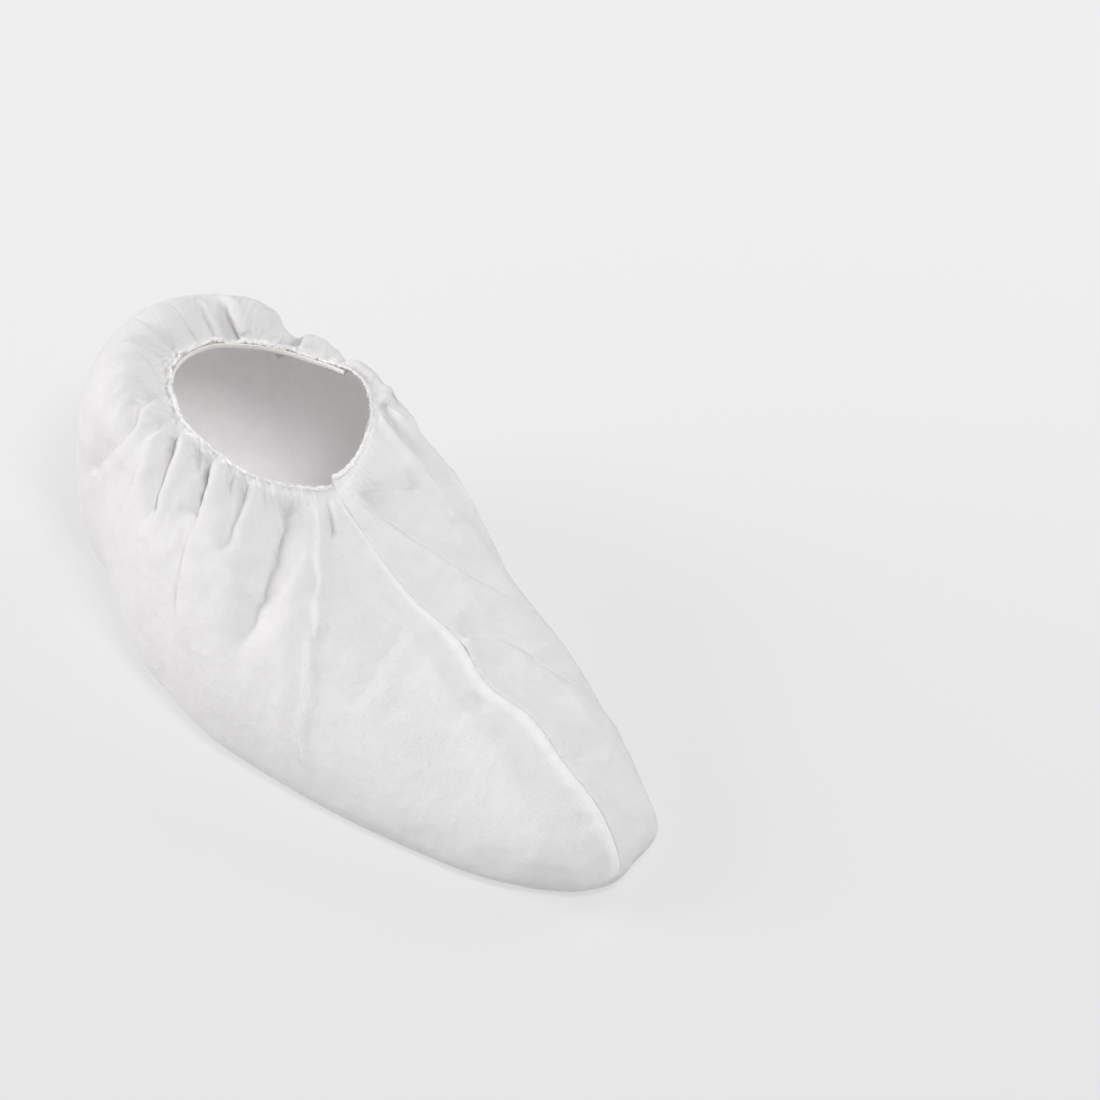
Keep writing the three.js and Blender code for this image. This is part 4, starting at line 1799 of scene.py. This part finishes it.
@dataclass
class SeamOverlock:
    """The bound edges of both panels, standing inside the cover along the whole seam."""

    panel: SidePanel
    height: float = 4.0
    thickness: float = 1.0
    clearance: float = 0.9
    stitch_pitch: float = 2.8
    stitch_steps: int = 4
    thread: float = 0.22
    loop_out: float = 0.15
    loop_middle: float = 0.55
    loop_reach: float = 0.5
    lean: float = 0.35
    waver: float = 0.25
    waver_cell: float = 9.0
    seed: int = 71
    below_hem: int = 6
    profile: tuple[float, ...] = (0.6, 1.0, 1.0, 0.9, 0.35)

    def _path(self) -> tuple[Array, Array]:
        """The seam's line inside the cover, from the hem at the heel along the sole to the hem in front.

        Returns:
            Points in the frame, and directions into the cover.
        """
        points, _ = self.panel.surface()
        normals = grid_normals(points)
        start = self.panel.rows[Stretch.HEM] + self.below_hem
        heel = (points[start:, 0], normals[start:, 0])
        sole = (points[-1, 1:-1], normals[-1, 1:-1])
        front = (points[start:, -1][::-1], normals[start:, -1][::-1])
        line = np.concatenate([heel[0], sole[0], front[0]])
        facing = np.concatenate([heel[1], sole[1], front[1]])
        line = placed(line, Side.RIGHT, self.panel.sizes)
        run = np.concatenate([[0.0], np.cumsum(np.linalg.norm(np.diff(line, axis=0), axis=1))])
        even = np.linspace(0.0, run[-1], int(run[-1] / (self.stitch_pitch / self.stitch_steps)))
        line = np.stack([np.interp(even, run, line[:, k]) for k in range(3)], axis=-1)
        facing = np.stack([np.interp(even, run, facing[:, k]) for k in range(3)], axis=-1)
        return line, -unit(facing)

    def build(self) -> bpy.types.Object:
        """Makes the strip, an oblong that narrows to its edge, and round loops of thread that bind it.

        Returns:
            The seam.
        """
        line, inward = self._path()
        aside = np.array([0.0, 1.0, 0.0])
        stand = unit(inward - self.lean * aside)
        waver = self.waver * lattice_noise(line, self.waver_cell, self.seed)[:, None] * aside
        share = np.linspace(0.0, 1.0, len(self.profile))
        top = self.clearance + self.panel.sizes.cloth
        middle = line[:, None] + (top + self.height * share[:, None]) * stand[:, None] + waver[:, None]
        half = self.thickness / 2.0 * np.array(self.profile)[:, None] * aside
        ring = np.concatenate([middle + half, (middle - half)[:, ::-1]], axis=1)
        marks = np.arange(2, len(line) - 2, self.stitch_steps)
        turn = np.linspace(0.0, 2.0 * np.pi, 9)[:, None]
        across = (self.thickness / 2.0 + self.loop_out) * np.cos(turn) * aside
        rise = top + self.height * (self.loop_middle + self.loop_reach * np.sin(turn))
        centre = (line + waver)[marks][:, None] + rise * stand[marks][:, None] + across
        parts = [ringed_tubes(ring[None]), round_tubes(centre, self.thread, 5)]
        return new_object("overlock_seam_edge", Shape.joined(parts))

    def dress(self, made: bpy.types.Object, finish: bpy.types.Material) -> None:
        """Gives the seam its thread, hangs it on the body and hides the imported part that it replaces.

        Args:
            made: The seam.
            finish: The thread's material.
        """
        made.data.materials.append(finish)
        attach(made, BODY)
        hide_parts("overlock_seam")
        log.info("%s: %d points along the seam", made.name, len(made.data.vertices))


@dataclass(frozen=True)
class SoftLight:
    """A square soft light that points at the cover: places and side in metres, power in watts."""

    name: str
    place: Place
    size: float
    power: float
    tint: Colour = (1.0, 1.0, 1.0)
    aim: Place = (0.0, 0.0, 0.05)

    def build(self) -> bpy.types.Object:
        """Makes the light.

        Returns:
            The light, linked to the scene.
        """
        data = bpy.data.lights.new(self.name, "AREA")
        data.size = self.size
        data.energy = self.power
        data.color = self.tint
        made = bpy.data.objects.new(self.name, data)
        made.location = self.place
        ray = Vector(self.aim) - Vector(self.place)
        made.rotation_euler = ray.to_track_quat("-Z", "Y").to_euler()
        bpy.context.scene.collection.objects.link(made)
        return made


@dataclass
class Studio:
    """Floor, soft light and the camera, which is fitted so that the anchor lands on its pixel."""

    azimuth: float = 52.5
    elevation: float = 42.0
    distance: float = 2000.0
    lens: float = 147.0
    sensor: float = 36.0
    frame_pixels: float = 1100.0
    anchor: Place = (6.0, 6.7, 0.0)
    anchor_pixel: Span = (388.0, 683.0)
    floor_size: float = 8000.0
    floor_drop: float = 0.2
    sky: float = 0.2
    backdrop: float = 0.62
    lights: tuple[SoftLight, ...] = (
        SoftLight("heel_light", (-1.4, -1.2, 0.9), 1.0, 30.2, (1.0, 0.975, 0.98)),
        SoftLight("toe_light", (1.0, -0.2, 1.7), 0.5, 22.5),
        SoftLight("far_light", (0.0, 1.6, 1.0), 1.0, 12.0),
        SoftLight("near_light", (0.7, -1.5, 0.1), 0.6, 1.7),
    )

    def camera(self) -> bpy.types.Object:
        """Makes the camera: it looks along one direction, moved so that the anchor lands on its pixel.

        Returns:
            The camera, set as the scene's own.
        """
        turn, tilt = math.radians(self.azimuth), math.radians(self.elevation)
        level = np.array([math.sin(turn), -math.cos(turn), 0.0])
        back = math.cos(tilt) * level + math.sin(tilt) * UP
        right = np.array([math.cos(turn), math.sin(turn), 0.0])
        up = np.cross(back, right)
        pixel = self.distance * self.sensor / (self.lens * self.frame_pixels)
        centre = self.frame_pixels / 2.0
        aside = (centre - self.anchor_pixel[0]) * pixel
        above = (self.anchor_pixel[1] - centre) * pixel
        place = (np.array(self.anchor) + aside * right + above * up + self.distance * back) * MM
        data = bpy.data.cameras.new("photo_camera")
        data.lens = self.lens
        data.sensor_width = self.sensor
        made = bpy.data.objects.new("photo_camera", data)
        turned = Matrix((right, up, back)).transposed().to_4x4()
        made.matrix_world = Matrix.Translation(Vector(place)) @ turned
        bpy.context.scene.collection.objects.link(made)
        bpy.context.scene.camera = made
        return made

    def floor(self) -> bpy.types.Object:
        """Makes the floor: one large level sheet of paper, just below the sole.

        Returns:
            The floor.
        """
        corners = np.array([(-1.0, -1.0, 0.0), (1.0, -1.0, 0.0), (1.0, 1.0, 0.0), (-1.0, 1.0, 0.0)])
        corners = self.floor_size / 2.0 * corners - self.floor_drop * UP
        made = new_object("studio_floor", Shape(corners, (np.array([[0, 1, 2, 3]]),)))
        made.data.materials.append(StudioPaper().material())
        return made

    def world(self) -> None:
        """Makes the sky: faint even light, which shows as a pale backdrop past the floor's end."""
        world = bpy.data.worlds.new("studio")
        world.use_nodes = True
        bpy.context.scene.world = world
        tree = NodeTree(world.node_tree)
        light = tree.add("ShaderNodeBackground", {}, {"Color": WHITE, "Strength": self.sky})
        seen = tree.add("ShaderNodeBackground", {}, {"Color": WHITE, "Strength": self.backdrop})
        ray = tree.add("ShaderNodeLightPath").outputs["Is Camera Ray"]
        both = tree.add("ShaderNodeMixShader", {}, {0: ray, 1: light.outputs[0], 2: seen.outputs[0]})
        tree.add("ShaderNodeOutputWorld", {}, {"Surface": both.outputs[0]})

    def build(self) -> None:
        """Sets out the camera, the floor and the light."""
        self.camera()
        self.floor()
        self.world()
        bpy.context.scene.view_settings.view_transform = "Standard"
        for light in self.lights:
            light.build()
        log.info("studio: camera, floor and light")


def main() -> None:
    """Builds and dresses the pieces of the cover in order, and the studio round them."""
    logging.basicConfig(level=logging.INFO, format="%(name)s: %(message)s")
    sizes = CoverSizes()
    Studio().build()
    panels = {
        Side.RIGHT: SidePanel(
            name="right_panel",
            side=Side.RIGHT,
            sections=RIGHT_SECTIONS,
            folds=RIGHT_FOLDS,
            seed=11,
            front_calm=0.3,
            front_span=(0.6, 0.85),
            front_lift=0.0,
            sizes=sizes,
        ),
        Side.LEFT: SidePanel(
            name="left_panel",
            side=Side.LEFT,
            sections=LEFT_SECTIONS,
            folds=LEFT_FOLDS,
            seed=23,
            front_calm=0.85,
            front_span=(0.36, 0.5),
            front_lift=4.5,
            sizes=sizes,
        ),
    }
    cloth = NonWovenCloth().material()
    for panel in panels.values():
        panel.dress(panel.build(), cloth)
    rim = RimLine(panels)
    elastic = OpeningElastic(rim)
    elastic.dress(elastic.build(), ElasticYarn().material())
    thread = OverlockThread().material()
    edge = RimOverlock(rim)
    edge.dress(edge.build(), thread)
    seam = SeamOverlock(panels[Side.RIGHT])
    seam.dress(seam.build(), thread)


if __name__ == "__main__":
    main()
